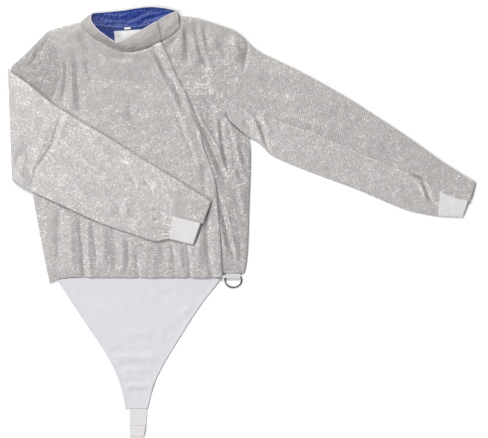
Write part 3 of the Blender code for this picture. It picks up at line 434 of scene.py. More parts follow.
def swell(off, width):
    """1 on a line and falling off evenly on both sides of it."""
    return np.exp(-((off / width) ** 2))


def settle(away, run):
    """0 at an edge, rising to 1 away from it."""
    return 1 - np.exp(-away / run)


def between(low, high, part):
    """Part of the way from low to high."""
    return low * (1 - part) + high * part


def size_of(name):
    """A size of the sidebar, in millimetres."""
    return getattr(bpy.context.scene.jacket_sizes, name) * 1000


def through(values, at):
    """Smooth curve through rows of numbers, read at row positions."""
    values = np.asarray(values, float)
    at = np.clip(np.asarray(at, float), 0, len(values) - 1)
    i = np.minimum(at.astype(int), len(values) - 2)
    t = (at - i)[:, None]
    before = values[np.maximum(i - 1, 0)]
    a = values[i]
    b = values[i + 1]
    after = values[np.minimum(i + 2, len(values) - 1)]
    slope_a = (b - before) / 2
    slope_b = (after - a) / 2
    bend = (t**3 - 2 * t**2 + t) * slope_a + (t**3 - t**2) * slope_b
    return a + (3 * t**2 - 2 * t**3) * (b - a) + bend


def sections(rows, at):
    """Smooth curve through the rows of a table, read at row positions."""
    return through([tuple(r) for r in rows], at)


def lengths(line):
    """Length of a line up to each of its points."""
    return np.concatenate(([0.0], np.cumsum(np.linalg.norm(np.diff(line, axis=0), axis=1))))


def edge(fractions, *tables):
    """Points at parts of the length of an edge that runs through the tables in turn."""
    line = np.concatenate([
        sections(rows, np.linspace(0, len(rows) - 1, 8 * len(rows))) for rows in tables
    ])
    steps = np.linalg.norm(np.diff(line, axis=0), axis=1)
    line = line[np.concatenate(([True], steps > 1e-6))]
    length = lengths(line)
    at = np.asarray(fractions) * length[-1]
    return np.stack([np.interp(at, length, line[:, k]) for k in (0, 1)], axis=1)


def patch(bottom, top, left, right, u, v):
    """Plan of a panel between its four edges, each from left to right or from bottom to top."""
    u = u[None, :, None]
    v = v[:, None, None]
    level = top[0] * (1 - u) + top[-1] * u
    across = (1 - v) * bottom[None] + v * level + v**3 * (top[None] - level)
    along = (1 - u) * left[:, None] + u * right[:, None]
    corners = (1 - v) * ((1 - u) * bottom[0] + u * bottom[-1]) + v * ((1 - u) * top[0] + u * top[-1])
    return across + along - corners


def distance(x, y, line):
    """Distance of points to a line through corner points."""
    best = np.full(np.shape(x), 1e9)
    for (ax, ay), (bx, by) in zip(line[:-1], line[1:]):
        dx = bx - ax
        dy = by - ay
        t = np.clip(((x - ax) * dx + (y - ay) * dy) / max(dx * dx + dy * dy, 1e-9), 0, 1)
        best = np.minimum(best, np.hypot(x - ax - t * dx, y - ay - t * dy))
    return best


def nearest(x, y, lines):
    """Distance of points to the nearest of some lines."""
    return np.minimum.reduce([distance(x, y, line) for line in lines])


def creases(x, y, rows):
    """Sum of the ridges and troughs of a table, each steeper on one side of its line than on the other."""
    total = np.zeros(np.shape(x))
    for r in rows:
        points = np.array(r.points, float)
        line = through(points, np.linspace(0, len(points) - 1, 4 * (len(points) - 1) + 1))
        reach = 2.6 * max(r.left, r.right)
        low = line.min(axis=0) - reach
        high = line.max(axis=0) + reach
        near = (x > low[0]) & (x < high[0]) & (y > low[1]) & (y < high[1])
        if not near.any():
            continue
        px = x[near]
        py = y[near]
        best = np.full(px.shape, 1e9)
        side = np.zeros(px.shape)
        at = np.zeros(px.shape)
        steps = np.linalg.norm(np.diff(line, axis=0), axis=1)
        start = np.concatenate(([0.0], np.cumsum(steps)))
        for k, step in enumerate(steps):
            dx, dy = line[k + 1] - line[k]
            t = np.clip(((px - line[k, 0]) * dx + (py - line[k, 1]) * dy) / step**2, 0, 1)
            off = np.hypot(px - line[k, 0] - t * dx, py - line[k, 1] - t * dy)
            closer = off < best
            best[closer] = off[closer]
            side[closer] = ((py - line[k, 1]) * dx - (px - line[k, 0]) * dy)[closer]
            at[closer] = ((start[k] + t * step) / start[-1])[closer]
        width = np.where(side > 0, r.left, r.right)
        fade = smooth(-0.02, 0.3, at) * (1.0 if r.runs_on else smooth(-0.02, 0.3, 1 - at))
        total[near] += r.height * np.exp(-((best / width) ** 1.7)) * fade
    return total * bpy.context.scene.jacket_sizes.folds


def crumple(x, y, size, seed):
    """Small uneven waves, about size apart and from -1 to 1."""
    draw = np.random.default_rng(seed)
    total = np.zeros(np.shape(x))
    for _ in range(7):
        way = draw.uniform(0, math.pi)
        pace = FULL_CIRCLE / (size * draw.uniform(0.7, 1.6))
        shift = draw.uniform(0, FULL_CIRCLE)
        along = x * math.cos(way) + y * math.sin(way)
        aside = y * math.cos(way) - x * math.sin(way)
        total += np.sin(pace * along + shift + 1.3 * np.sin(0.37 * pace * aside + 2 * shift))
    return total / 4.5


def spread(length, low=True, high=True, cell=None):
    """Parts of a length for the lines of a grid, closer together along its edges."""
    cell = cell or size_of("cell")
    near = np.array((0.0, 0.8, 1.8, 3.2))
    first = 5.0 if low else 0.0
    last = length - 5.0 if high else length
    inner = np.linspace(first, last, max(3, int(round((last - first) / cell))) + 1)
    runs = [near] if low else []
    runs.append(inner)
    if high:
        runs.append(length - near[::-1])
    return np.concatenate(runs) / length


def sleeve_edges(rows, at):
    """Upper edge, lower edge and seam part of a sleeve at section positions."""
    values = sections(rows, at)
    return values[:, 0:2], values[:, 2:4], values[:, 4]


def inset(line, by):
    """An open line moved to its left."""
    step = np.gradient(line, axis=0)
    step /= np.linalg.norm(step, axis=1, keepdims=True)
    return line + by * np.stack((-step[:, 1], step[:, 0]), axis=1)


def outline_of_top():
    """Lines where the top cloth of the body and the sleeves turns down to the cloth below."""
    every = np.linspace(0, 1, 24)
    upper_left, lower_left = sleeve_edges(SLEEVE_LEFT, np.linspace(0, len(SLEEVE_LEFT) - 1, 40))[:2]
    folded = SLEEVE_RIGHT[: TURN_RIGHT + 1]
    upper_right, lower_right = sleeve_edges(folded, np.linspace(0, TURN_RIGHT, 10))[:2]
    shoulder = edge(every, SHOULDER_RIGHT)[::-1]
    side = edge(every, SIDE_RIGHT)[::-1]
    return [
        np.concatenate((edge(every, SHOULDER_LEFT), upper_left)),
        np.concatenate((edge(every, SIDE_LEFT), lower_left)),
        np.concatenate((shoulder, upper_right, lower_right[::-1], side)),
    ]


def seam_of(rows, last):
    """Line of the seam on the seen side of a sleeve."""
    upper, lower, seam = sleeve_edges(rows, np.linspace(0, last, 5 * last + 1))
    return upper + (lower - upper) * seam[:, None]


EVERY = np.linspace(0, 1, 30)
TOP_OUTLINE = outline_of_top()
CLOSURE_LINE = edge(np.linspace(0, 1, 60), CLOSURE)
FOREARM = SLEEVE_RIGHT[TURN_RIGHT:]
FOREARM_UPPER, FOREARM_LOWER = sleeve_edges(FOREARM, np.linspace(0, len(FOREARM) - 1, 30))[:2]
FOREARM_OUTLINE = np.concatenate((FOREARM_UPPER, FOREARM_LOWER[::-1], FOREARM_UPPER[:1]))
ARMHOLES = [edge(EVERY, ARMHOLE_LEFT), edge(EVERY, ARMHOLE_RIGHT)]
SLEEVE_SEAM = seam_of(SLEEVE_LEFT, WRIST_LEFT)
NECK_SEAM = inset(edge(EVERY, NECK_RIGHT), -3.0)
UNDERARM = [(r.x, r.y) for r in ARMHOLE_LEFT[3::-1]]
FRONT_EDGES = [
    edge(EVERY, SHOULDER_RIGHT), edge(EVERY, SIDE_RIGHT), edge(EVERY, SHOULDER_LEFT),
    edge(EVERY, SIDE_LEFT)
]
HEM_LINE = np.concatenate((edge(EVERY, HEM_RIGHT), [(-46, -124), (7, -123)]))


def inside(x, y, outline):
    """Whether points lie inside a closed outline."""
    found = np.zeros(np.shape(x), bool)
    for (ax, ay), (bx, by) in zip(outline[:-1], outline[1:]):
        if abs(by - ay) > 1e-9:
            crosses = ((ay > y) != (by > y)) & (x < ax + (y - ay) * (bx - ax) / (by - ay))
            found = found ^ crosses
    return found


def covered(x, y):
    """0 in the open, 1 under the folded-back forearm, whose weight flattens the folds."""
    away = distance(x, y, FOREARM_OUTLINE)
    return smooth(-12, 0, np.where(inside(x, y, FOREARM_OUTLINE), away, -away))


def seam_dip(away):
    """How far cloth is drawn down at a seam, with the small roll beside it."""
    return 0.4 * swell(away - 4.6, 2.4) - SEAM_DIP * swell(away, 1.9)


def hem_crown(y):
    """Share of the body's crown that is left toward the hem."""
    return HEM_CROWN + (1 - HEM_CROWN) * smooth(0, HEM_RUN, y + 135)


def body_top(x, y):
    """Height of the outside of the top cloth: body, outstretched sleeve and upper right sleeve."""
    away = nearest(x, y, TOP_OUTLINE)
    hem = hem_crown(y)
    rise = CROWN * settle(away, CROWN_RUN) * hem
    open_cloth = 1 - covered(x, y)
    relief = creases(x, y, BODY_CREASES) * settle(away, 16.0) * (0.7 + 0.3 * hem)
    relief += (0.34 * crumple(x, y, 34, 3) + 0.18 * crumple(x, y, 13, 4)) * settle(away, 6.0)
    relief *= open_cloth
    armholes = nearest(x, y, ARMHOLES)
    seams = seam_dip(distance(x, y, SLEEVE_SEAM)) + ARMHOLE_DIP * seam_dip(armholes)
    seams = seams - NECK_GROOVE * smooth(2, 18, away) * swell(distance(x, y, NECK_SEAM), 2.6)
    return LAPPED + rise + np.maximum(relief, -0.85 * rise - 0.2) + seams * open_cloth


def front_trim(x, y):
    """How far a front is turned down at its sewn edges and drawn in along its hem stitches."""
    away = nearest(x, y, FRONT_EDGES)
    hem = distance(x, y, HEM_LINE)
    groove = 0.5 * swell(hem - HEM_STITCHES, 1.4) + 0.4 * (1 - smooth(0, 2.0, hem))
    groove = groove + 1.6 * (1 - smooth(0, 16, hem))
    return EDGE_DROP * (1 - smooth(0, 2.5, away)) + groove * (1 - covered(x, y))


def lap(x, y):
    """How far the large front stands up where it lies over the small one."""
    return (CLOTH + 2 * GAP) * (1 - smooth(LAP_WIDTH + 8, LAP_WIDTH + 80, distance(x, y, CLOSURE_LINE)))


def front_right_top(x, y):
    """Outside of the large front, trimmed at its edges, above the groin panel behind its hem."""
    return np.maximum(body_top(x, y) + lap(x, y) - front_trim(x, y), 5.0 - 2.0 * smooth(-118, -100, y))


def front_left_top(x, y):
    """The small front dips a little where it runs on under the large one."""
    closure_x = np.interp(y, CLOSURE_LINE[:, 1], CLOSURE_LINE[:, 0])
    z = body_top(x, y) - 2.4 * smooth(0, 9, closure_x - x) - front_trim(x, y)
    under_sleeve = swell(distance(x, y, [(-36, 256), *UNDERARM]), 3.2)
    return np.maximum(z - 3.6 * under_sleeve, np.minimum(z, 3.2))


def forearm_base(x, y):
    """What the folded-back forearm lies on."""
    away = nearest(x, y, TOP_OUTLINE)
    bare = LAPPED + CROWN * settle(away, CROWN_RUN) * hem_crown(y)
    return bare + lap(x, y) + GAP + 0.3 + 0.7 * smooth(470, 500, -x)


def under_relief(x, y, fade):
    """Soft creases of the cloth that lies on the surface, which stay above it."""
    waves = 0.45 + 0.35 * crumple(x, y, 60, 8) + 0.25 * crumple(x, y, 22, 9)
    long = np.abs(np.sin((0.9 * x + 0.25 * y) / 38.0 + 1.5 * np.sin(y / 120.0))) ** 6
    return np.clip(waves + 0.5 * long, 0.0, 1.1) * fade


def with_height(plan, z):
    """A plan grid lifted to its height."""
    return np.concatenate((plan, np.broadcast_to(z, plan.shape[:2])[..., None]), axis=2)


def section_point(start, end, out):
    """Points at distances from the start of a section toward its end."""
    way = end - start
    way = way / np.linalg.norm(way, axis=1, keepdims=True)
    return start[:, None] + way[:, None] * out[..., None]


def shift():
    """From the plan of the tables to the frame of the CAD model, read off the label."""
    low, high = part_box("label")
    outline = np.array(LABEL, float)
    middle = (outline.min(axis=0) + outline.max(axis=0)) / 2
    found = middle - np.array(((low.x + high.x) * 500, (low.y + high.y) * 500))
    return np.array((found[0], found[1], 0.0))


SHIFT = shift()


def pleats(at, part, wrist):
    """Depth of the uneven pleats where the wide under panel is sewn to its cuff."""
    depth = np.zeros((len(at), len(part)))
    rows = (
        (0.09, 1.6, 0.7, 0.022), (0.21, 2.7, 1.0, 0.026), (0.34, 1.9, 0.6, 0.022), (0.46, 3.0, 1.2, 0.026),
        (0.59, 2.2, 0.6, 0.022), (0.70, 2.8, 1.0, 0.026), (0.84, 1.6, 0.5, 0.022)
    )
    for middle, deep, length, wide in rows:
        near = smooth(wrist - length, wrist - 0.05, np.asarray(at))[:, None]
        depth += deep * near * swell(part[None] - middle, wide)
    return depth


def grain_of(points):
    """Cloth coordinates: the way along the sections, then the way across them."""
    along = np.linalg.norm(np.diff(points, axis=0), axis=2).mean(axis=1)
    along = np.concatenate(([0.0], np.cumsum(along)))
    across = np.linalg.norm(np.diff(points, axis=1), axis=2)
    across = np.concatenate((np.zeros((len(points), 1)), np.cumsum(across, axis=1)), axis=1)
    return np.stack((np.broadcast_to(along[:, None], across.shape), across), axis=2)


def add(tree, kind, inputs, output=0, **settings):
    """Adds a shader node with its settings and its inputs, values or links, and gives one output."""
    made = tree.nodes.new(kind)
    for key, value in settings.items():
        setattr(made, key, value)
    for key, value in inputs.items():
        if isinstance(value, bpy.types.NodeSocket):
            tree.links.new(value, made.inputs[key])
        else:
            made.inputs[key].default_value = value
    return made.outputs[output]


def blank(name, **sockets):
    """New material, its tree and its shader, with settings on the shader's own sockets."""
    made = bpy.data.materials.new(name)
    made.use_nodes = True
    shader = made.node_tree.nodes["Principled BSDF"]
    for key, value in sockets.items():
        shader.inputs[key.replace("_", " ")].default_value = value
    return made, made.node_tree, shader


def link(tree, shader, **outputs):
    """Links outputs to the shader's own sockets."""
    for key, value in outputs.items():
        tree.links.new(value, shader.inputs[key.replace("_", " ")])


def finished(made, tone, shade, strength=0.0, distance=0.0, height=None):
    """Ends a material: its colour, lighter and darker with its pattern, and the relief of its pattern."""
    tree = made.node_tree
    shader = tree.nodes["Principled BSDF"]
    body = add(tree, "ShaderNodeVectorMath", {0: tuple(tone), "Scale": shade}, operation="SCALE")
    link(tree, shader, Base_Color=body)
    if height:
        bump = add(tree, "ShaderNodeBump", {"Strength": strength, "Distance": distance, "Height": height})
        link(tree, shader, Normal=bump)
    return made


def lame(name, along, across, speckle, tone, painted_dimming_from=9.0):
    """Woven metal-faced cloth, steel threads on polyester: satin grey. Its colour has a speckle of lighter
    and darker cells, which is partly tone that differs at random and partly painted sparkle for threads
    that lie toward or away from the light. It also has glints that come and go: painted highlights in
    its brightest cells. Its threads are 0.4 mm, too fine to show, so the ribs are drawn a dozen threads
    apart. Past the height given last, in metres along its length, fewer glints and less speckle are
    painted. That is painted shade, which darkens the cloth toward the shoulders."""
    sizes = bpy.context.scene.jacket_sizes
    colours = bpy.context.scene.jacket_colours
    made, tree, shader = blank(name)
    grain = add(tree, "ShaderNodeUVMap", {}, uv_map="grain")
    cells = add(
        tree, "ShaderNodeTexVoronoi", {"Vector": grain, "Scale": 1 / sizes.painted_glint}, "Color",
        voronoi_dimensions="2D"
    )
    chance = add(tree, "ShaderNodeSeparateColor", {0: cells}, 0)
    other = add(tree, "ShaderNodeSeparateColor", {0: cells}, 1)
    patches, mottle = [
        add(
            tree, "ShaderNodeTexNoise", {"Vector": grain, "Scale": scale, "Detail": 2.0},
            noise_dimensions="2D"
        )
        for scale in (30.0, 300.0)
    ]
    shape = {
        "Vector": grain, "Scale": FULL_CIRCLE / (20 * sizes.rib), "Distortion": 0.5, "Detail": 1.0,
        "Detail Scale": 0.3
    }
    weft, warp = [add(tree, "ShaderNodeTexWave", shape, "Fac", bands_direction=way) for way in "XY"]
    # Higher up the body fewer glints and less speckle are painted: painted shade, darker toward the
    # shoulders.
    up = add(tree, "ShaderNodeSeparateXYZ", {0: grain}, 1)
    painted_dimming = add(tree, "ShaderNodeMapRange", {0: up, 1: painted_dimming_from, 2: painted_dimming_from + 0.16, 3: 1.0, 4: 0.3})
    crowd = add(tree, "ShaderNodeMapRange", {0: patches, 1: 0.3, 2: 0.7, 3: 0.26, 4: 0.42 * speckle})
    crowd = add(tree, "ShaderNodeMath", {0: crowd, 1: painted_dimming}, operation="MULTIPLY")
    shade = 0.65 * tone
    for part, weight in ((chance, crowd), (mottle, 0.22), (warp, across), (weft, along)):
        shade = add(tree, "ShaderNodeMath", {0: part, 1: weight, 2: shade}, operation="MULTIPLY_ADD")
    body = add(tree, "ShaderNodeVectorMath", {0: tuple(colours.lame), "Scale": shade}, operation="SCALE")
    # Glints: painted highlights, with the brightest cells painted toward the glint colour and made more
    # metallic.
    painted_glint_and_metal_cells = add(tree, "ShaderNodeMath", {0: patches, 1: 0.15, 2: chance}, operation="MULTIPLY_ADD")
    painted_glint = add(tree, "ShaderNodeMapRange", {0: painted_glint_and_metal_cells, 1: 0.96, 2: 1.06, 3: 0.0, 4: 0.5 * speckle})
    painted_glint = add(tree, "ShaderNodeMath", {0: painted_glint, 1: painted_dimming}, operation="MULTIPLY")
    height = other
    for part, weight in ((warp, 3 * across), (weft, 3 * along)):
        height = add(tree, "ShaderNodeMath", {0: part, 1: weight, 2: height}, operation="MULTIPLY_ADD")
    link(
        tree, shader,
        Metallic=add(tree, "ShaderNodeMapRange", {0: painted_glint_and_metal_cells, 1: 0.88, 2: 1.12, 3: 0.25, 4: 0.6}),
        Base_Color=add(
            tree, "ShaderNodeMix", {0: painted_glint, 6: body, 7: (*colours.painted_glint, 1.0)}, 2, data_type="RGBA"
        ),
        Roughness=add(tree, "ShaderNodeMapRange", {0: other, 1: 0.0, 2: 1.0, 3: 0.44, 4: 0.66}),
        Normal=add(tree, "ShaderNodeBump", {"Strength": 0.4, "Distance": 0.0006, "Height": height})
    )
    return made


def weave(name, tone, thread, rough, contrast, cloud, sheen):
    """Plain woven cloth: crossing threads with slubs, so matt with a faint grid. It is drawn coarser
    than the real threads of 0.3 mm, which don't show."""
    made, tree = blank(name, Roughness=rough, Sheen_Weight=sheen, Sheen_Roughness=0.5)[:2]
    grain = add(tree, "ShaderNodeUVMap", {}, uv_map="grain")
    shape = {"Vector": grain, "Scale": FULL_CIRCLE / (20 * thread), "Distortion": 0.6, "Detail": 1.0}
    weft, warp = [add(tree, "ShaderNodeTexWave", shape, "Fac", bands_direction=way) for way in "XY"]
    clouds, fibre = [
        add(
            tree, "ShaderNodeTexNoise", {"Vector": grain, "Scale": scale, "Detail": detail},
            noise_dimensions="2D"
        )
        for scale, detail in ((45.0, 4.0), (700.0, 2.0))
    ]
    shade = 1 - contrast - cloud
    for part, weight in ((warp, contrast), (weft, contrast), (clouds, cloud), (fibre, cloud)):
        shade = add(tree, "ShaderNodeMath", {0: part, 1: weight, 2: shade}, operation="MULTIPLY_ADD")
    height = add(tree, "ShaderNodeMath", {0: warp, 1: 1.0, 2: weft}, operation="MULTIPLY_ADD")
    height = add(tree, "ShaderNodeMath", {0: fibre, 1: 0.6, 2: height}, operation="MULTIPLY_ADD")
    return finished(made, tone, shade, 0.35, 0.0003, height)


def ribbed_elastic(name, tone):
    """Woven elastic, rubber cores under polyester yarn: white, matt and ribbed along its length."""
    made, tree = blank(name, Roughness=0.75, Sheen_Weight=0.25, Sheen_Roughness=0.5)[:2]
    grain = add(tree, "ShaderNodeUVMap", {}, uv_map="grain")
    scale = FULL_CIRCLE / (20 * bpy.context.scene.jacket_sizes.elastic_rib)
    cores = add(tree, "ShaderNodeTexWave", {"Vector": grain, "Scale": scale}, "Fac", bands_direction="Y")
    yarn = add(tree, "ShaderNodeTexWave", {"Vector": grain, "Scale": 2 * scale}, "Fac", bands_direction="X")
    fibre = add(
        tree, "ShaderNodeTexNoise", {"Vector": grain, "Scale": 500.0, "Detail": 3.0}, noise_dimensions="2D"
    )
    shade = 0.84
    for part, weight in ((cores, 0.10), (yarn, 0.03), (fibre, 0.10)):
        shade = add(tree, "ShaderNodeMath", {0: part, 1: weight, 2: shade}, operation="MULTIPLY_ADD")
    height = add(tree, "ShaderNodeMath", {0: yarn, 1: 0.2, 2: cores}, operation="MULTIPLY_ADD")
    return finished(made, tone, shade, 0.5, 0.0005, height)


def plated_wire(name, tone):
    """Nickel-plated steel wire, bent and polished, with faint draw marks. Its colour is painted dark, and
    darker and brighter by turns, as painted reflection.
    """
    made, tree, shader = blank(name, Metallic=1.0)
    place = add(tree, "ShaderNodeTexCoord", {}, "Object")
    marks = add(tree, "ShaderNodeTexNoise", {"Vector": place, "Scale": 900.0, "Detail": 3.0})
    # Patches of painted reflection: the wire's colour darker and brighter by turns.
    painted_reflection_patches = add(tree, "ShaderNodeTexNoise", {"Vector": place, "Scale": 120.0, "Detail": 2.0})
    shade = add(tree, "ShaderNodeMapRange", {0: painted_reflection_patches, 1: 0.3, 2: 0.7, 3: 0.8, 4: 1.1})
    rough = add(tree, "ShaderNodeMapRange", {0: marks, 1: 0.3, 2: 0.7, 3: 0.16, 4: 0.34})
    link(tree, shader, Roughness=rough)
    return finished(made, tone, shade, 0.15, 0.0001, marks)


def spun_thread(name, tone):
    """Polyester sewing thread, spun and twisted: satin, with painted shade in the gaps between its turns,
    which the bump also draws as relief.
    """
    made, tree = blank(name, Roughness=0.55, Sheen_Weight=0.2)[:2]
    place = add(tree, "ShaderNodeTexCoord", {}, "Object")
    twist_relief_and_gap_shade = add(tree, "ShaderNodeTexNoise", {"Vector": place, "Scale": 1500.0, "Detail": 1.0})
    # Painted shade: the gaps between the turns of the thread are painted darker.
    shade = add(tree, "ShaderNodeMapRange", {0: twist_relief_and_gap_shade, 1: 0.3, 2: 0.7, 3: 0.86, 4: 1.06})
    return finished(made, tone, shade, 0.3, 0.0001, twist_relief_and_gap_shade)


def painted_board(name, tone):
    """Smooth board with matt white paint: even, with a faint roller texture."""
    made, tree = blank(name, Roughness=0.9)[:2]
    place = add(tree, "ShaderNodeTexCoord", {}, "Object")
    roller = add(tree, "ShaderNodeTexNoise", {"Vector": place, "Scale": 160.0, "Detail": 2.0})
    shade = add(tree, "ShaderNodeMapRange", {0: roller, 1: 0.2, 2: 0.8, 3: 0.995, 4: 1.0})
    return finished(made, tone, shade)


# Metal-faced cloths: how strong the ribs along and across are, the share of glints, the tone, and
# from where along its length the glints thin out. The tone and the share of glints are painted light:
# each piece is painted lighter or darker, with more or fewer painted highlights, for the way it lies
# to the light. Where the glints thin out, the cloth is painted darker as painted shade.
LAME_LOOKS = {
    "lame_body": (0.05, 0.04, 1.0, 1.0, 0.25),
    "lame_left_front": (0.05, 0.04, 1.3, 0.9, 0.32),
    "lame_top_sleeve": (0.22, 0.0, 0.7, 0.89),
    "lame_under_sleeve": (0.18, 0.15, 0.9, 0.93),
    "lame_upper_sleeve": (0.05, 0.10, 0.55, 0.66),
    "lame_forearm_top": (0.12, 0.08, 1.15, 1.07),
    "lame_forearm_under": (0.12, 0.08, 1.15, 1.07)
}
# The other finishes, each with its colour. A weave also has its thread spacing, roughness, contrast
# of the threads, strength of the clouds and sheen.
LOOKS = {
    "collar_twill": (weave, "collar", 0.0036, 0.6, 0.16, 0.36, 0.2),
    "blue_lining": (weave, "lining", 0.0018, 0.42, 0.08, 0.6, 0.03),
    "white_cotton": (weave, "white", 0.0018, 0.85, 0.02, 0.03, 0.2),
    "label_ribbon": (weave, "label", 0.0012, 0.5, 0.03, 0.02, 0.1),
    "cotton_tape": (weave, "tab", 0.0016, 0.85, 0.06, 0.05, 0.2),
    "woven_elastic": (ribbed_elastic, "elastic"),
    "plated_wire": (plated_wire, "ring"),
    "board_paint": (painted_board, "floor"),
    "outside_thread": (spun_thread, "thread"),
    "lining_thread": (spun_thread, "lining_thread"),
    "white_thread": (spun_thread, "label")
}


def material(name):
    """The finish of that name, made when a piece first asks for it."""
    found = bpy.data.materials.get(name)
    if found:
        return found
    if name in LAME_LOOKS:
        return lame(name, *LAME_LOOKS[name])
    make, tone, *rest = LOOKS[name]
    return make(name, getattr(bpy.context.scene.jacket_colours, tone), *rest)


def show(name, mesh, look):
    """Puts a finished mesh in the scene."""
    data = bpy.data.meshes.new(name)
    mesh.to_mesh(data)
    mesh.free()
    data.shade_smooth()
    data.materials.append(material(look))
    made = bpy.data.objects.new(name, data)
    bpy.context.scene.collection.objects.link(made)
    return made


def cloth(name, points, grain, wall, look, ring=False, down=False):
    """A sheet through a grid of points of its outside, with its thickness put behind it."""
    rows, columns = points.shape[:2]
    mesh = bmesh.new()
    uv = mesh.loops.layers.uv.new("grain")
    bmesh.ops.create_grid(mesh, x_segments=columns - 1, y_segments=rows - 1, size=1.0)
    mesh.verts.ensure_lookup_table()
    places = ((points - SHIFT) / 1000).reshape(-1, 3).tolist()
    for vert, place in zip(mesh.verts, places):
        vert.co = place
    mesh.verts.index_update()
    flat = (grain / 1000).reshape(-1, 2).tolist()
    for face in mesh.faces:
        for corner in face.loops:
            corner[uv].uv = flat[corner.vert.index]
    if ring:
        bmesh.ops.remove_doubles(mesh, verts=mesh.verts, dist=0.00001)
    mesh.normal_update()
    mesh.faces.ensure_lookup_table()
    inner_face = mesh.faces[rows // 8 * (columns - 1) + columns // 8]
    if (inner_face.normal.z > 0) == down:
        bmesh.ops.reverse_faces(mesh, faces=mesh.faces)
    made = show(name, mesh, look)
    thick = made.modifiers.new("wall", "SOLIDIFY")
    thick.thickness = wall / 1000
    thick.offset = -1.0
    thick.use_even_offset = False
    return made


def dress(piece, replaced):
    """Says what a sheet of cloth rides on and hides the part that it stands for."""
    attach(piece, "jacket")
    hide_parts(replaced)


def sheet(name, points, look, replaced, slot, held, rests_on=(), grain=None, **kind):
    """A piece of cloth, made and dressed. Its grain is measured over its creases unless given."""
    grain = grain_of(points) if grain is None else grain
    wall = WALLS.get(name, size_of("wall"))
    dress(cloth(name, points, grain, wall, look, **kind), replaced)


def stitches(name, lines, look, lift=0.15, stitch=1.0):
    """Rows of stitches along lines on the cloth."""
    pitch = size_of("pitch") * stitch
    half = size_of("stitch") / 2 * stitch
    thick = size_of("thread") / 2 * stitch
    mesh = bmesh.new()
    for line in lines:
        length = lengths(line)
        count = max(2, int(length[-1] / pitch))
        at = (np.arange(count) + 0.5) * length[-1] / count
        ends = [
            np.stack([np.interp(at + k * half, length, line[:, i]) for i in range(3)], axis=1)
            for k in (-1, 1)
        ]
        for start, end in zip(*ends):
            way = Vector(end - start)
            middle = (Vector((start + end) / 2 - SHIFT) + Vector((0, 0, lift))) / 1000
            turn = way.to_track_quat("X", "Z").to_matrix().to_4x4()
            size = Matrix.Diagonal((way.length / 2000, thick / 1000, thick / 1000, 1.0))
            bmesh.ops.create_uvsphere(
                mesh, u_segments=6, v_segments=4, radius=1.0,
                matrix=Matrix.Translation(middle) @ turn @ size
            )
    made = show(name, mesh, look)
    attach(made, "jacket")
    return made


def tube(name, path, radius, look, closed=False, sides=12):
    """A round wire or cord: one circle, drawn out along a path."""
    if closed:
        way = np.roll(path, -1, axis=0) - np.roll(path, 1, axis=0)
    else:
        way = np.gradient(path, axis=0)
    frames = []
    for place, along in zip(path, way):
        turn = Vector(along).to_track_quat("Z", "Y").to_matrix().to_4x4()
        frames.append(Matrix.Translation(Vector((place - SHIFT) / 1000)) @ turn)
    mesh = bmesh.new()
    bmesh.ops.create_circle(mesh, segments=sides, radius=radius / 1000, matrix=frames[0])
    first = mesh.edges[:]
    edges = first
    for before, after in zip(frames[:-1], frames[1:]):
        drawn = bmesh.ops.extrude_edge_only(mesh, edges=edges)["geom"]
        verts = [part for part in drawn if isinstance(part, bmesh.types.BMVert)]
        fresh = set(verts)
        edges = [
            part for part in drawn
            if isinstance(part, bmesh.types.BMEdge) and part.verts[0] in fresh and part.verts[1] in fresh
        ]
        bmesh.ops.transform(mesh, matrix=after @ before.inverted(), verts=verts)
    if closed:
        bmesh.ops.bridge_loops(mesh, edges=first + edges)
    else:
        bmesh.ops.holes_fill(mesh, edges=first + edges, sides=sides)
    bmesh.ops.recalc_face_normals(mesh, faces=mesh.faces)
    return show(name, mesh, look)


def at_edges(h, split, low_edge, high_edge):
    """Points up the side of a panel: one edge to the split, the next above it."""
    low = edge(h[h <= split] / split, low_edge)
    high = edge((h[h > split] - split) / (1 - split), high_edge)
    return np.concatenate((low, high))


def body_back():
    """Back of the body, its outside down on the surface."""
    u = spread(560, cell=6)
    h = spread(610, cell=6)
    left = at_edges(h, 0.53, SIDE_RIGHT, ARMHOLE_RIGHT)
    right = at_edges(h, 0.55, SIDE_LEFT, ARMHOLE_LEFT)
    top = edge(u, SHOULDER_RIGHT, NECK_BACK, SHOULDER_LEFT)
    bottom = edge(u, HEM_BACK)
    plan = patch(bottom, top, left, right, u, h)
    x = plan[..., 0]
    y = plan[..., 1]
    away = nearest(x, y, TOP_OUTLINE + [edge(EVERY, NECK_BACK)])
    seams = nearest(x, y, ARMHOLES)
    z = under_relief(x, y, settle(away, 20.0)) + 0.6 * swell(seams, 1.9)
    points = with_height(plan, z)
    sheet("back_cloth", points, "lame_body", "back_panel", "lame", "laid", grain=plan, down=True)


def closure_strip_plan(v):
    """Plan of the strip along the closure, from its inner edge to the closure."""
    line = edge(v, CLOSURE)
    line[0] = (-46, -133)
    width = 11 + 13 * smooth(0.55, 1.0, v)
    toward_side = (inset(line, 1.0) - line) * width[:, None]
    parts = np.array((1.0, 0.95, 0.9, 0.84, 0.77, 0.66, 0.5, 0.34, 0.23, 0.16, 0.11, 0.05, 0.0))
    strip = line[:, None] + parts[None, :, None] * toward_side[:, None]
    strip[0, :, 1] = -133
    return strip, parts, width


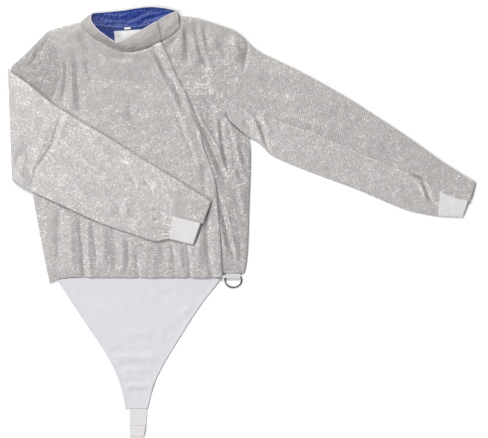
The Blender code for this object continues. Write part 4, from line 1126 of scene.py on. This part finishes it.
def body_fronts():
    """The large front, the strip along its edge and the small front under it."""
    h = spread(615)
    left = at_edges(h, 0.5, SIDE_RIGHT, ARMHOLE_RIGHT)
    v = h + 0.06 * np.sin(FULL_CIRCLE * h)
    strip, parts, width = closure_strip_plan(v)
    u = spread(400, True, False)
    ease = (u**5)[:, None]
    whole = edge(np.linspace(0, 1, 400), SHOULDER_RIGHT, NECK_RIGHT)
    last = np.linalg.norm(whole - strip[-1, 0], axis=1).argmin() / 399
    top = edge(u * last, SHOULDER_RIGHT, NECK_RIGHT)
    top = top + ease * (strip[-1, 0] - top[-1])
    bottom = edge(u, HEM_RIGHT)
    bottom = bottom + ease * (strip[0, 0] - bottom[-1])
    plan = np.concatenate((patch(bottom, top, left, strip[:, 0], u, h), strip[:, 2::2]), axis=1)
    points = with_height(plan, front_right_top(plan[..., 0], plan[..., 1]))
    sheet(
        "right_front", points, "lame_body", "front_right", "lame", "laid",
        ["back_panel", "front_left"], grain=plan
    )

    x = strip[..., 0]
    y = strip[..., 1]
    side = np.minimum(parts, 1 - parts)[None] * width[:, None]
    z = front_right_top(x, y) + PLACKET_RISE - 0.9 * (1 - smooth(0, 1.3, side))
    z += 0.22 * np.sin(parts * math.pi)[None] - 0.30 * swell(side - 1.9, 0.7)
    z += 0.12 * crumple(x, y, 9, 11)
    points = with_height(strip, z)
    sheet("closure_strip", points, "lame_body", "placket", "lame", "laid", ["front_right"])
    rows = [points[2:-2, k] for k in (3, 10)]
    stitches("closure_stitches", rows, "outside_thread")

    split = 0.55
    h = spread(590)
    right = at_edges(h, split, SIDE_LEFT, ARMHOLE_LEFT)
    above = np.clip((h - split) / (1 - split), 0, 1)
    v = np.where(h <= split, 0.47 * h / split, 0.47 + 0.53 * above**1.3)
    left = inset(edge(v, CLOSURE), LAP_WIDTH)
    left[:, 1] = np.where(left[:, 1] < -90, np.interp(left[:, 1], (-140, -90), (-124, -90)), left[:, 1])
    left[0, 1] = -124
    u = spread(130)
    corner = table("x y", tuple(left[-1]), (-194, 434))
    top = edge(u, corner, NECK_LEFT, SHOULDER_LEFT)
    bottom = left[:1] + (right[:1] - left[:1]) * u[:, None]
    plan = patch(bottom, top, left, right, u, h)
    points = with_height(plan, front_left_top(plan[..., 0], plan[..., 1]))
    sheet(
        "left_front", points, "lame_left_front", "front_left", "lame", "laid",
        ["back_panel"], grain=plan
    )

    hem = inset(edge(np.linspace(0.01, 0.97, 120), HEM_RIGHT), HEM_STITCHES)
    line = with_height(hem[None], front_right_top(hem[None, :, 0], hem[None, :, 1]))[0]
    stitches("hem_stitches", [line], "outside_thread")


def onto_armhole(upper, lower, part, armhole):
    """How far the points of a sleeve's first section have to move onto the armhole."""
    straight = upper[:1, None] + (lower[:1] - upper[:1])[:, None] * part[:1, :, None]
    return edge(1 - np.clip(part[0], 0, 1), armhole)[None] - straight


def hand_sections(rows, wrist, short, length):
    """Section positions of a hand cover or cuff, from just past the wrist."""
    return wrist + JUST_PAST + (len(rows) - short - wrist) * spread(length)


def sleeve_panel(at, side, armhole=None, pleated=False):
    """Panel round one edge of the outstretched sleeve, from the front seam to the back seam."""
    upper, lower, seam = sleeve_edges(SLEEVE_LEFT, at)
    width = np.linalg.norm(lower - upper, axis=1)
    reach = (seam if side == "upper" else 1 - seam) * width - 0.02
    radius = FOLD_RADIUS
    run = 0.97 * (1 - spread(float(reach.mean()) - radius, True, False)) + 0.03
    under = 0.97 * (1 - spread(float(reach.mean()) - radius, True, False, 7.0))[::-1] + 0.03
    start, end = (upper, lower) if side == "upper" else (lower, upper)
    arc = TURNED
    n = len(run)
    m = n + len(arc)
    out = np.concatenate((
        radius + run[None] * (reach - radius)[:, None],
        np.broadcast_to(radius + radius * np.cos(arc), (len(at), len(arc))),
        radius + under[None] * (reach - radius)[:, None]
    ), axis=1)
    plan = section_point(start, end, out)
    along = lengths((upper + lower) / 2)
    if armhole is not None:
        part = out / width[:, None]
        part = part if side == "upper" else 1 - part
        blend = (1 - smooth(0.0, 2.6, at))[:, None, None]
        plan = plan + blend * onto_armhole(upper, lower, part, armhole)
        plan[..., 0] += 0.1 * np.exp(-along / 6.0)[:, None]
    z = np.empty(out.shape)
    z[:, :n] = body_top(plan[:, :n, 0], plan[:, :n, 1])
    if pleated:
        z[:, :n] -= pleats(at, 1 - run, WRIST_LEFT)
    rim = (along[-1] - along)[:, None] if armhole is None else along[:, None] * 0 + 99
    z[:, :n] -= RIM_DROP * (1 - smooth(0, RIM_RUN, rim))
    z[:, n:m] = radius + radius * np.sin(arc)[None]
    fade = settle(out[:, m:] - radius, 16.0)
    z[:, m:] = under_relief(plan[:, m:, 0], plan[:, m:, 1], fade)
    return with_height(plan, z)


def sleeve_out():
    """The sleeve that lies out to the side, with its hand cover and its half cuff of elastic."""
    at = WRIST_LEFT * spread(560)
    points = sleeve_panel(at, "upper", ARMHOLE_LEFT)
    sheet("left_top_sleeve", points, "lame_top_sleeve", "top_sleeve_left", "lame", "laid")
    points = sleeve_panel(at, "lower", ARMHOLE_LEFT, True)
    sheet("left_under_sleeve", points, "lame_under_sleeve", "under_sleeve_left", "lame", "laid")
    cover = sleeve_panel(hand_sections(SLEEVE_LEFT, WRIST_LEFT, 1.001, 95), "upper")
    sheet("left_hand_cover", cover, "lame_body", "hand_cover_left", "lame", "folded")
    cuff = sleeve_panel(hand_sections(SLEEVE_LEFT, WRIST_LEFT, 1.18, 90), "lower")
    sheet("left_cuff", cuff, "woven_elastic", "cuff_left", "elastic", "folded")
    rows = []
    for points in (cover, cuff):
        seen = points[:, : points.shape[1] // 2]
        rows += [seen[4, 2:], seen[-5, 2:], seen[2:-2, 3]]
    stitches("left_cuff_stitches", rows, "white_thread")


def sleeve_upper():
    """Upper part of the folded sleeve, a tube from the armhole to the fold."""
    at = (TURN_RIGHT - 0.34) * spread(150)
    upper, lower = sleeve_edges(SLEEVE_RIGHT[: TURN_RIGHT + 1], at)[:2]
    width = np.linalg.norm(lower - upper, axis=1)
    radius = FOLD_RADIUS
    run = np.linspace(0.015, 0.985, 90)
    under = np.linspace(0.02, 0.98, 36)
    arc = TURNED
    near = np.broadcast_to(radius + radius * np.cos(arc), (len(at), len(arc)))
    span = (width - 2 * radius)[:, None]
    out = np.concatenate((
        radius + run[::-1][None] * span, near, radius + under[None] * span,
        (width[:, None] - near)[:, ::-1]
    ), axis=1)
    part = np.clip(out / width[:, None], 0, 1)
    plan = section_point(upper, lower, out)
    blend = 1 - smooth(0.0, 1.9 - 1.4 * part[:1] ** 2, at[:, None])
    plan = plan + blend[..., None] * onto_armhole(upper, lower, part, ARMHOLE_RIGHT)
    plan[..., 0] -= (0.1 + 1.2 * part**6) * (1 - smooth(0.4, 2.0, at))[:, None]
    n = len(run)
    m = n + len(arc)
    k = m + len(under)
    z = np.empty(out.shape)
    z[:, :n] = body_top(plan[:, :n, 0], plan[:, :n, 1])
    z[:, n:m] = radius + radius * np.sin(arc)[None]
    fade = 1 - np.exp(-np.minimum(under, 1 - under)[None] * width[:, None] / 16.0)
    z[:, m:k] = under_relief(plan[:, m:k, 0], plan[:, m:k, 1], fade)
    z[:, k:] = radius + radius * np.sin(arc)[None, ::-1]
    points = with_height(plan, z)
    points = np.concatenate((points, points[:, :1]), axis=1)
    sheet(
        "right_sleeve_upper", points, "lame_upper_sleeve", "sleeve_upper_right", "lame",
        "folded", ring=True
    )


def forearm_top(plan, out, width, turn):
    """Outside of the folded-back forearm, turned down at its edges and at the fold."""
    x = plan[..., 0]
    y = plan[..., 1]
    base = forearm_base(x, y)
    near = np.maximum(np.minimum(out, width - out), 0)
    lifted = 2.6 * swell(x + 435, 60) + 1.6 * swell(x + 180, 40)
    base = base + lifted * (1 - smooth(60, 120, y + 0.5 * (x + 435))) * np.exp(-near / 14)
    full = LAPPED + 0.4 + SLEEVE_CROWN * settle(near, SLEEVE_RUN)
    relief = creases(x, y, FOREARM_CREASES) + 0.36 * crumple(x, y, 32, 5) + 0.2 * crumple(x, y, 12, 6)
    full = full + relief * settle(near, 12.0)
    z = base + full * np.sqrt(1 - (1 - np.clip(near / EDGE_ROUND, 0, 1)) ** 2)
    turn_round = np.sqrt(1 - (1 - np.clip(turn / TURN_ROUND, 0, 1)) ** 2)
    return 0.3 + (z - 0.3) * turn_round


def folded_panel(at, turn, side, pleated=False):
    """Seen half of a panel of the folded-back sleeve, from its edge to the seam."""
    upper, lower, seam = sleeve_edges(FOREARM, at - TURN_RIGHT)
    width = np.linalg.norm(lower - upper, axis=1)
    reach = (seam if side == "upper" else 1 - seam) * width - 0.02
    start, end = (upper, lower) if side == "upper" else (lower, upper)
    rim = np.array((0.0, 0.25, 0.7, 1.3, 1.9))
    part = spread(float(reach.mean()) - EDGE_ROUND, False, True)
    out = np.concatenate((
        np.broadcast_to(rim, (len(at), len(rim))), EDGE_ROUND + part[None] * (reach - EDGE_ROUND)[:, None]
    ), axis=1)
    plan = section_point(start, end, out)
    z = forearm_top(plan, out, width[:, None], turn[:, None])
    z += FOREARM_DIP * seam_dip(reach[:, None] - out) * smooth(0, TURN_ROUND, turn)[:, None]
    if pleated:
        z[:, len(rim):] -= pleats(at, part, WRIST_RIGHT)
    if at[0] > WRIST_RIGHT:
        along = lengths((upper + lower) / 2)
        z -= RIM_DROP * (1 - smooth(0, RIM_RUN, along[-1] - along))[:, None]
    return with_height(plan, z)


def sleeve_folded():
    """The forearm folded back over the body, with its hidden layers, hand cover and cuff."""
    first = sleeve_edges(FOREARM, np.array((0.0, 1.0)))
    step = 0.5 * sum(np.linalg.norm(line[1] - line[0]) for line in first[:2])
    bend = np.array((0.0, 0.35, 0.9, 1.8, 3.2, 4.8, 6.6, 8.6, 11.0)) / step
    last = WRIST_RIGHT - TURN_RIGHT
    rest = bend[-1] + (last - bend[-1]) * spread(470, False, True)[1:]
    at = TURN_RIGHT + np.concatenate((bend, rest))
    turn = (at - TURN_RIGHT) * step
    front = ["front_right"]
    points = folded_panel(at, turn, "upper")
    sheet("right_top_sleeve", points, "lame_forearm_top", "top_sleeve_right", "lame", "folded", front)
    points = folded_panel(at, turn, "lower", True)
    sheet(
        "right_under_sleeve", points, "lame_forearm_under", "under_sleeve_right", "lame", "folded",
        front
    )
    hand = hand_sections(SLEEVE_RIGHT, WRIST_RIGHT, 1.001, 95)
    cover = folded_panel(hand, np.full(len(hand), FAR_FROM_TURN), "upper")
    sheet("right_hand_cover", cover, "lame_body", "hand_cover_right", "lame", "folded", front)
    hand = hand_sections(SLEEVE_RIGHT, WRIST_RIGHT, 1.2, 90)
    cuff = folded_panel(hand, np.full(len(hand), FAR_FROM_TURN), "lower")
    sheet("right_cuff", cuff, "woven_elastic", "cuff_right", "elastic", "folded", front)
    rows = []
    for points in (cover, cuff):
        rows += [points[4, 6:-2], points[-5, 6:-2], points[2:-2, -4]]
    stitches("right_cuff_stitches", rows, "white_thread")

    at = np.concatenate(([0.36], np.linspace(0.7, len(SLEEVE_RIGHT) - 1.04 - TURN_RIGHT, 60)))
    upper, lower = sleeve_edges(FOREARM, at)[:2]
    width = np.linalg.norm(lower - upper, axis=1)
    out = INNER_INSET + np.linspace(0, 1, 24)[None] * (width - 2 * INNER_INSET)[:, None]
    plan = section_point(upper, lower, out)
    points = with_height(plan, forearm_base(plan[..., 0], plan[..., 1]) + 1.5)
    sheet(
        "right_sleeve_inner", points, "lame_body", "sleeve_inner_right", "lame", "folded",
        ["front_right"]
    )


def bare_base(x, y):
    """Top of the front at the neck, without its small relief."""
    away = nearest(x, y, TOP_OUTLINE)
    return LAPPED + CROWN * settle(away, CROWN_RUN) + lap(x, y)


def collar_band(name, rows, base, replaced, rests_on):
    """Front collar band, from its seam at the neck to its free edge."""
    at = (len(rows) - 1) * spread(240 if len(rows) > 5 else 90, cell=2.4)
    values = sections(rows, at)
    low = values[:, 0:2]
    top = values[:, 2:4]
    low = low + 2.4 * (low - top) / np.linalg.norm(low - top, axis=1, keepdims=True)
    t = spread(float(np.linalg.norm(top - low, axis=1).mean()), cell=1.8)[None, :, None]
    plan = between(low[:, None], top[:, None], t)
    t = t[..., 0]
    start = base(low[:, 0], low[:, 1])[:, None]
    long = np.linalg.norm(top - low, axis=1)[:, None] * t
    z = start + 1.5 + (CLOTH + 2 * GAP - 1.5) * settle(long, 2.5)
    z = z + values[:, 4:5] * t + values[:, 5:6] * 4 * t * (1 - t)
    x = plan[..., 0]
    y = plan[..., 1]
    z = z + (1.0 * crumple(x, y, 30, 21) + 0.55 * crumple(x, y, 10, 22)) * smooth(0, 0.25, t)
    points = with_height(plan, z)
    sheet(name, points, "collar_twill", replaced, "collar_cloth", "folded", rests_on)
    return points


def collar():
    """Stand collar: outside and inside behind the neck, and the two front bands with their piping."""
    u = spread(250, cell=3)
    t = spread(32, cell=3)[None, :, None]
    low = edge(u, NECK_BACK)[:, None]
    top = edge(u, COLLAR_BACK)[:, None]
    plan = between(low, top, t)
    x = plan[..., 0]
    y = plan[..., 1]
    away = distance(x, y, np.concatenate((low[:, 0], top[::-1, 0], low[:1, 0])))
    points = with_height(plan, under_relief(x, y, settle(away, 8.0)))
    sheet(
        "collar_outside", points, "collar_twill", "collar_back", "collar_cloth", "laid", down=True
    )

    middle = np.array((-262.0, 0.0))
    t = -0.07 + 1.03 * t
    plan = (between(low, top, t) - middle) * np.array((0.93, 1.0)) + middle
    x = plan[..., 0]
    y = plan[..., 1]
    relief = 2.6 * creases(x, y, LINING_CREASES) + 0.9 * crumple(x, y, 13, 31) + 0.4 * crumple(x, y, 6, 32)
    z = CLOTH + GAP + LINING + 1.6 + np.maximum(relief * smooth(-0.07, 0.1, t[..., 0]), -2.9)
    z = z + 0.8 * (1 - smooth(0, 5, (t[..., 0] + 0.07) * 34)) + 3.6 * smooth(0.74, 0.96, t[..., 0])
    points = with_height(plan, z)
    sheet(
        "collar_inside", points, "blue_lining", "collar_lining", "lining", "laid", ["collar_back"]
    )
    rows = [points[2:-2, k] for k in (-5, 2, 6)]
    stitches("collar_lining_stitches", rows, "lining_thread", stitch=1.7)

    right = collar_band("collar_band_right", COLLAR_RIGHT, bare_base, "collar_right", ["front_right"])
    left = collar_band("collar_band_left", COLLAR_LEFT, body_level, "collar_left", ["front_left"])
    rows = [right[2:-2, 3], right[2:-2, -4], left[2:-2, 3], left[2:-2, -4]]
    stitches("collar_stitches", rows, "outside_thread")
    radius = size_of("piping")
    for name, points in (("collar_piping_right", right), ("collar_piping_left", left)):
        line = points[:, -1] + np.array((0.0, 0.0, -0.4))
        made = tube(name, line[::2], radius, "white_cotton", sides=10)
        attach(made, "jacket")


def body_level(x, y):
    """Top of the small front at the neck, without its small relief."""
    return bare_base(x, y) - lap(x, y)


def lining_level(x, y):
    """Top of the lining behind the neck."""
    relief = 0.8 + creases(x, y, LINING_CREASES) + 0.6 * crumple(x, y, 18, 33)
    return CLOTH + GAP + LINING + np.maximum(relief, -1.2)


def neck():
    """Lining behind the neck, with the bare label and its tab."""
    last = len(NECK_LINING) - 1
    at = last * spread(75, cell=3)
    values = sections(NECK_LINING, at)
    t = spread(160, cell=3)[None, :, None]
    plan = between(values[:, None, 0:2], values[:, None, 2:4], t)
    sag = 13 * 4 * t[..., 0] * (1 - t[..., 0]) * 0.75
    plan[..., 1] -= sag * (1 - at / last)[:, None]
    points = with_height(plan, lining_level(plan[..., 0], plan[..., 1]))
    sheet(
        "neck_inside", points, "blue_lining", "back_neck_lining", "lining", "laid", ["back_panel"]
    )
    stitches("neck_lining_stitches", [points[4, 2:-2], points[6, 2:-2]], "lining_thread")

    a, b, c, d = np.array(LABEL, float)
    u = spread(64, cell=3)[None, :, None]
    v = spread(36, cell=3)[:, None, None]
    plan = (d * (1 - u) + c * u) * (1 - v) + (a * (1 - u) + b * u) * v
    side = np.minimum(np.minimum(u, 1 - u) * 64, np.minimum(v, 1 - v) * 36)[..., 0]
    x = plan[..., 0]
    y = plan[..., 1]
    z = lining_level(x, y) + 1.0 + 0.15 * crumple(x, y, 24, 41) - 0.35 * swell(side - 2.4, 0.9)
    points = with_height(plan, z)
    sheet("neck_label", points, "label_ribbon", "label", "label", "laid", ["back_neck_lining"])
    inner = points[3:-3, 3:-3]
    rows = [inner[0], inner[-1], inner[:, 0], inner[:, -1]]
    stitches("label_stitches", rows, "white_thread", stitch=0.8)

    low = np.array((-281.0, 460.6))
    path = np.array((
        (0.0, 0.0), (2.4, 0.0), (4.2, 0.0), (4.8, 0.25), (5.0, 0.5), (4.8, 0.75), (4.2, 1.0), (2.4, 1.0),
        (0.0, 1.0)
    ))
    across = np.linspace(0, 1, 8)
    level = float(lining_level(np.array(-273.5), np.array(463.0))) + 2.2
    x = low[0] + 15 * across[None] + 0 * path[:, :1]
    y = low[1] + across[None] * 0.9 + path[:, :1]
    z = level + path[:, 1:2] + 0 * x
    points = np.stack((x, y, z), axis=2)
    sheet(
        "neck_label_tab", points, "label_ribbon", "label_tab", "label", "folded",
        ["back_neck_lining"], down=True
    )


def groin_level(x, y):
    """Groin panel: on the back panel behind the hem, then down on the surface."""
    down = smooth(136, 178, -y)
    waves = 1.1 * swell(y + 330, 9.0) + 0.9 * swell(y + 392, 8.0)
    waves = waves * smooth(12, 40, -np.abs(x + 250) + 75)
    relief = creases(x, y, GROIN_CREASES) + 0.3 * crumple(x, y, 30, 51) + 0.14 * crumple(x, y, 12, 52)
    return CLOTH + 1.2 * (1 - down) + waves + relief * down


def groin():
    """White groin panel, hemmed at its sides, with a stitched band at its tip."""
    last = len(GROIN) - 1
    at = last * spread(330)
    values = sections(GROIN, at)
    count = spread(200, cell=4)
    t = count[None, :, None]
    plan = between(values[:, None, 0:2], values[:, None, 2:4], t)
    plan[..., 1] += (14 * 4 * t[..., 0] * (1 - t[..., 0])) * (1 - smooth(0.0, 1.6, at))[:, None]
    width = np.linalg.norm(values[:, 2:4] - values[:, 0:2], axis=1)[:, None]
    side = np.minimum(t[..., 0], 1 - t[..., 0]) * width
    x = plan[..., 0]
    y = plan[..., 1]
    z = groin_level(x, y)
    z += 0.5 * (1 - smooth(5.5, 8.5, side)) - 0.35 * swell(side - GROIN_STITCHES, 1.2)
    z += 0.6 * smooth(428, 433, -y) - 0.35 * swell(y + 431, 1.2)
    z -= 0.6 * (1 - smooth(0, 2.2, side))
    z = np.maximum(z, 1.25)
    points = with_height(plan, z)
    sheet(
        "groin_cloth", points, "white_cotton", "groin_panel", "white_cloth", "laid",
        ["back_panel"], grain=plan
    )
    rows = []
    for sign in (0, 1):
        part = GROIN_STITCHES / width[:, 0]
        part = part if sign == 0 else 1 - part
        line = between(values[:, 0:2], values[:, 2:4], part[:, None])
        use = (line[:, 1] < -160) & (line[:, 1] > -440)
        line = line[use]
        rows.append(np.column_stack((line, np.maximum(groin_level(line[:, 0], line[:, 1]), 1.3))))
    for y in (-432.0, -442.0):
        line = np.column_stack((np.linspace(-277, -229, 30), np.full(30, y)))
        rows.append(np.column_stack((line, groin_level(line[:, 0], line[:, 1]) + 0.4)))
    stitches("groin_stitches", rows, "white_thread")


def strap():
    """Elastic strap at the tip of the groin panel, its end folded over and sewn."""
    length = STRAP[0].left_y - GAP - STRAP[-1].left_y
    thick = ELASTIC
    radius = thick + GAP / 2
    arc = np.radians(np.linspace(-90, 90, 11))
    along = (length - radius) * spread(length, True, False, 3.0)
    low = np.stack((along, 0 * along), axis=1)
    bend = np.stack((length - radius + radius * np.cos(arc[1:]), radius + radius * np.sin(arc[1:])), axis=1)
    back = np.linspace(0, STRAP_FOLD - radius, 10)[1:]
    back = np.stack((length - radius - back, 0 * back + 2 * radius), axis=1)
    path = np.concatenate((low, bend, back))
    side = sections(STRAP, 2 * np.clip(path[:, 0] / length, 0, 1))
    t = spread(41, cell=2.5)[None, :, None]
    y = STRAP[0].left_y - GAP - path[:, 0]
    left = np.stack((side[:, 0], y), axis=1)[:, None]
    right = np.stack((side[:, 2], y), axis=1)[:, None]
    points = with_height(between(left, right, t), path[:, 1:2])
    sheet("strap_elastic", points, "woven_elastic", "elastic_strap", "elastic", "folded", down=True)
    rows = [points[-3, 1:-1], points[-5, 1:-1]]
    stitches("strap_stitches", rows, "white_thread")


def ring_path():
    """Middle line of the bent wire: a straight bar in the tab, and a round bow."""
    wire = RING_WIRE / 2
    half = RING_WIDTH / 2 - wire
    depth = RING_DEPTH - wire
    corner = 3.2
    turn = np.radians(np.linspace(90, 180, 9))
    left = np.stack((-half + corner + corner * np.cos(turn), -corner + corner * np.sin(turn)), axis=1)
    bow = math.pi * (1 + np.arange(1, 40) / 40)
    bow = np.stack((half * np.cos(bow), -6.0 + (depth - 6.0) * np.sin(bow)), axis=1)
    turn = np.radians(np.linspace(0, 90, 9))
    right = np.stack((half - corner + corner * np.cos(turn), -corner + corner * np.sin(turn)), axis=1)
    line = np.concatenate((left, bow, right))
    height = wire + TAB_SLACK + TAB_CLOTH
    slope = (height - wire) / depth
    return np.column_stack((line[:, 0] + RING_X, line[:, 1] + RING_BAR_Y, height + line[:, 1] * slope))


def ring():
    """The D ring and the tape that loops round its bar."""
    made = tube("ring_wire", ring_path(), RING_WIRE / 2, "plated_wire", closed=True, sides=16)
    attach(made, "ring")
    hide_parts("d_ring")

    outside = RING_WIRE / 2 + TAB_SLACK + TAB_CLOTH
    hem_y = -123.8
    arc = np.radians(np.linspace(-90, 90, 17))
    bend = np.stack((RING_BAR_Y - outside * np.cos(arc), outside + outside * np.sin(arc)), axis=1)
    run = np.linspace(hem_y, RING_BAR_Y, 6)[:-1]
    low = np.stack((run, 0 * run), axis=1)
    top = np.stack((run[::-1], 0 * run + 2 * outside), axis=1)
    path = np.concatenate((low, bend, top))
    x = RING_X + TAB_WIDTH * (spread(TAB_WIDTH, cell=3.0) - 0.5)[None]
    points = np.stack(np.broadcast_arrays(x, path[:, :1], path[:, 1:2]), axis=2)
    sheet("ring_tape", points, "cotton_tape", "ring_tab", "tab_cloth", "folded", down=True)
    stitches("tape_stitches", [points[-3, 1:-1], points[-5, 1:-1]], "outside_thread")


def soft_light(name, place, size, power, tint):
    """A large soft light that looks at the jacket."""
    data = bpy.data.lights.new(name, "AREA")
    data.shape = "DISK"
    data.size = size
    data.energy = power
    data.color = tint
    made = bpy.data.objects.new(name, data)
    made.location = place
    made.rotation_euler = (Vector((0.0, 0.05, 0.0)) - Vector(place)).to_track_quat("-Z", "Y").to_euler()
    bpy.context.scene.collection.objects.link(made)


def studio():
    """Pale floor, soft lights and the camera straight above."""
    scene = bpy.context.scene
    mesh = bmesh.new()
    bmesh.ops.create_grid(
        mesh, x_segments=1, y_segments=1, size=5.0, matrix=Matrix.Translation((0, 0, -FLOOR_DROP / 1000))
    )
    show("studio_floor", mesh, "board_paint")
    for light in LIGHTS:
        soft_light(*light)
    world = bpy.data.worlds.new("studio_air")
    world.use_nodes = True
    air = world.node_tree.nodes["Background"]
    air.inputs["Color"].default_value = AIR_TINT
    air.inputs["Strength"].default_value = AIR_POWER
    scene.world = world
    scene.view_settings.view_transform = "Standard"
    lens = bpy.data.cameras.new("camera")
    lens.sensor_width = CAMERA_SENSOR
    lens.lens = CAMERA_LENS
    lens.clip_end = 50.0
    camera = bpy.data.objects.new("camera", lens)
    camera.location = CAMERA_PLACE
    scene.collection.objects.link(camera)
    scene.camera = camera


class JACKET_OT_body(bpy.types.Operator):
    """Back, large front with its closure strip, and small front"""

    bl_idname = "jacket.body"
    bl_label = "Body"

    def execute(self, context):
        body_back()
        body_fronts()
        return {"FINISHED"}


class JACKET_OT_sleeve_out(bpy.types.Operator):
    """Sleeve that lies out to the side, with hand cover and cuff"""

    bl_idname = "jacket.sleeve_out"
    bl_label = "Outstretched sleeve"

    def execute(self, context):
        sleeve_out()
        return {"FINISHED"}


class JACKET_OT_sleeve_folded(bpy.types.Operator):
    """Sleeve that is folded back over the body, with hand cover and cuff"""

    bl_idname = "jacket.sleeve_folded"
    bl_label = "Folded sleeve"

    def execute(self, context):
        sleeve_upper()
        sleeve_folded()
        return {"FINISHED"}


class JACKET_OT_collar(bpy.types.Operator):
    """Stand collar with its bands, lining and piping"""

    bl_idname = "jacket.collar"
    bl_label = "Collar"

    def execute(self, context):
        collar()
        return {"FINISHED"}


class JACKET_OT_neck(bpy.types.Operator):
    """Lining behind the neck, with a bare label and its tab"""

    bl_idname = "jacket.neck"
    bl_label = "Neck lining"

    def execute(self, context):
        neck()
        return {"FINISHED"}


class JACKET_OT_lower(bpy.types.Operator):
    """Groin panel and its elastic strap"""

    bl_idname = "jacket.lower"
    bl_label = "Groin panel and strap"

    def execute(self, context):
        groin()
        strap()
        return {"FINISHED"}


class JACKET_OT_ring(bpy.types.Operator):
    """D ring in the loop of its tape"""

    bl_idname = "jacket.ring"
    bl_label = "Ring"

    def execute(self, context):
        ring()
        return {"FINISHED"}


class JACKET_OT_studio(bpy.types.Operator):
    """Floor, lights and camera"""

    bl_idname = "jacket.studio"
    bl_label = "Studio"

    def execute(self, context):
        studio()
        return {"FINISHED"}


OPERATORS = (
    JACKET_OT_body, JACKET_OT_sleeve_out, JACKET_OT_sleeve_folded, JACKET_OT_collar, JACKET_OT_neck,
    JACKET_OT_lower, JACKET_OT_ring, JACKET_OT_studio
)


class JACKET_PT_sidebar(bpy.types.Panel):
    """Pieces, sizes and colours of the jacket"""

    bl_idname = "JACKET_PT_sidebar"
    bl_label = "Fencing jacket"
    bl_space_type = "VIEW_3D"
    bl_region_type = "UI"
    bl_category = "Jacket"

    def draw(self, context):
        for kind in OPERATORS:
            self.layout.operator(kind.bl_idname)
        for group in (context.scene.jacket_sizes, context.scene.jacket_colours):
            for name in group.__annotations__:
                self.layout.prop(group, name)


CLASSES = (JacketSizes, JacketColours, *OPERATORS, JACKET_PT_sidebar)


def register():
    for kind in CLASSES:
        bpy.utils.register_class(kind)
    bpy.types.Scene.jacket_sizes = PointerProperty(type=JacketSizes)
    bpy.types.Scene.jacket_colours = PointerProperty(type=JacketColours)


def unregister():
    del bpy.types.Scene.jacket_colours
    del bpy.types.Scene.jacket_sizes
    for kind in reversed(CLASSES):
        bpy.utils.unregister_class(kind)


def main():
    """Makes every piece in order."""
    register()
    for kind in OPERATORS:
        group, name = kind.bl_idname.split(".")
        getattr(getattr(bpy.ops, group), name)()


if __name__ == "__main__":
    main()
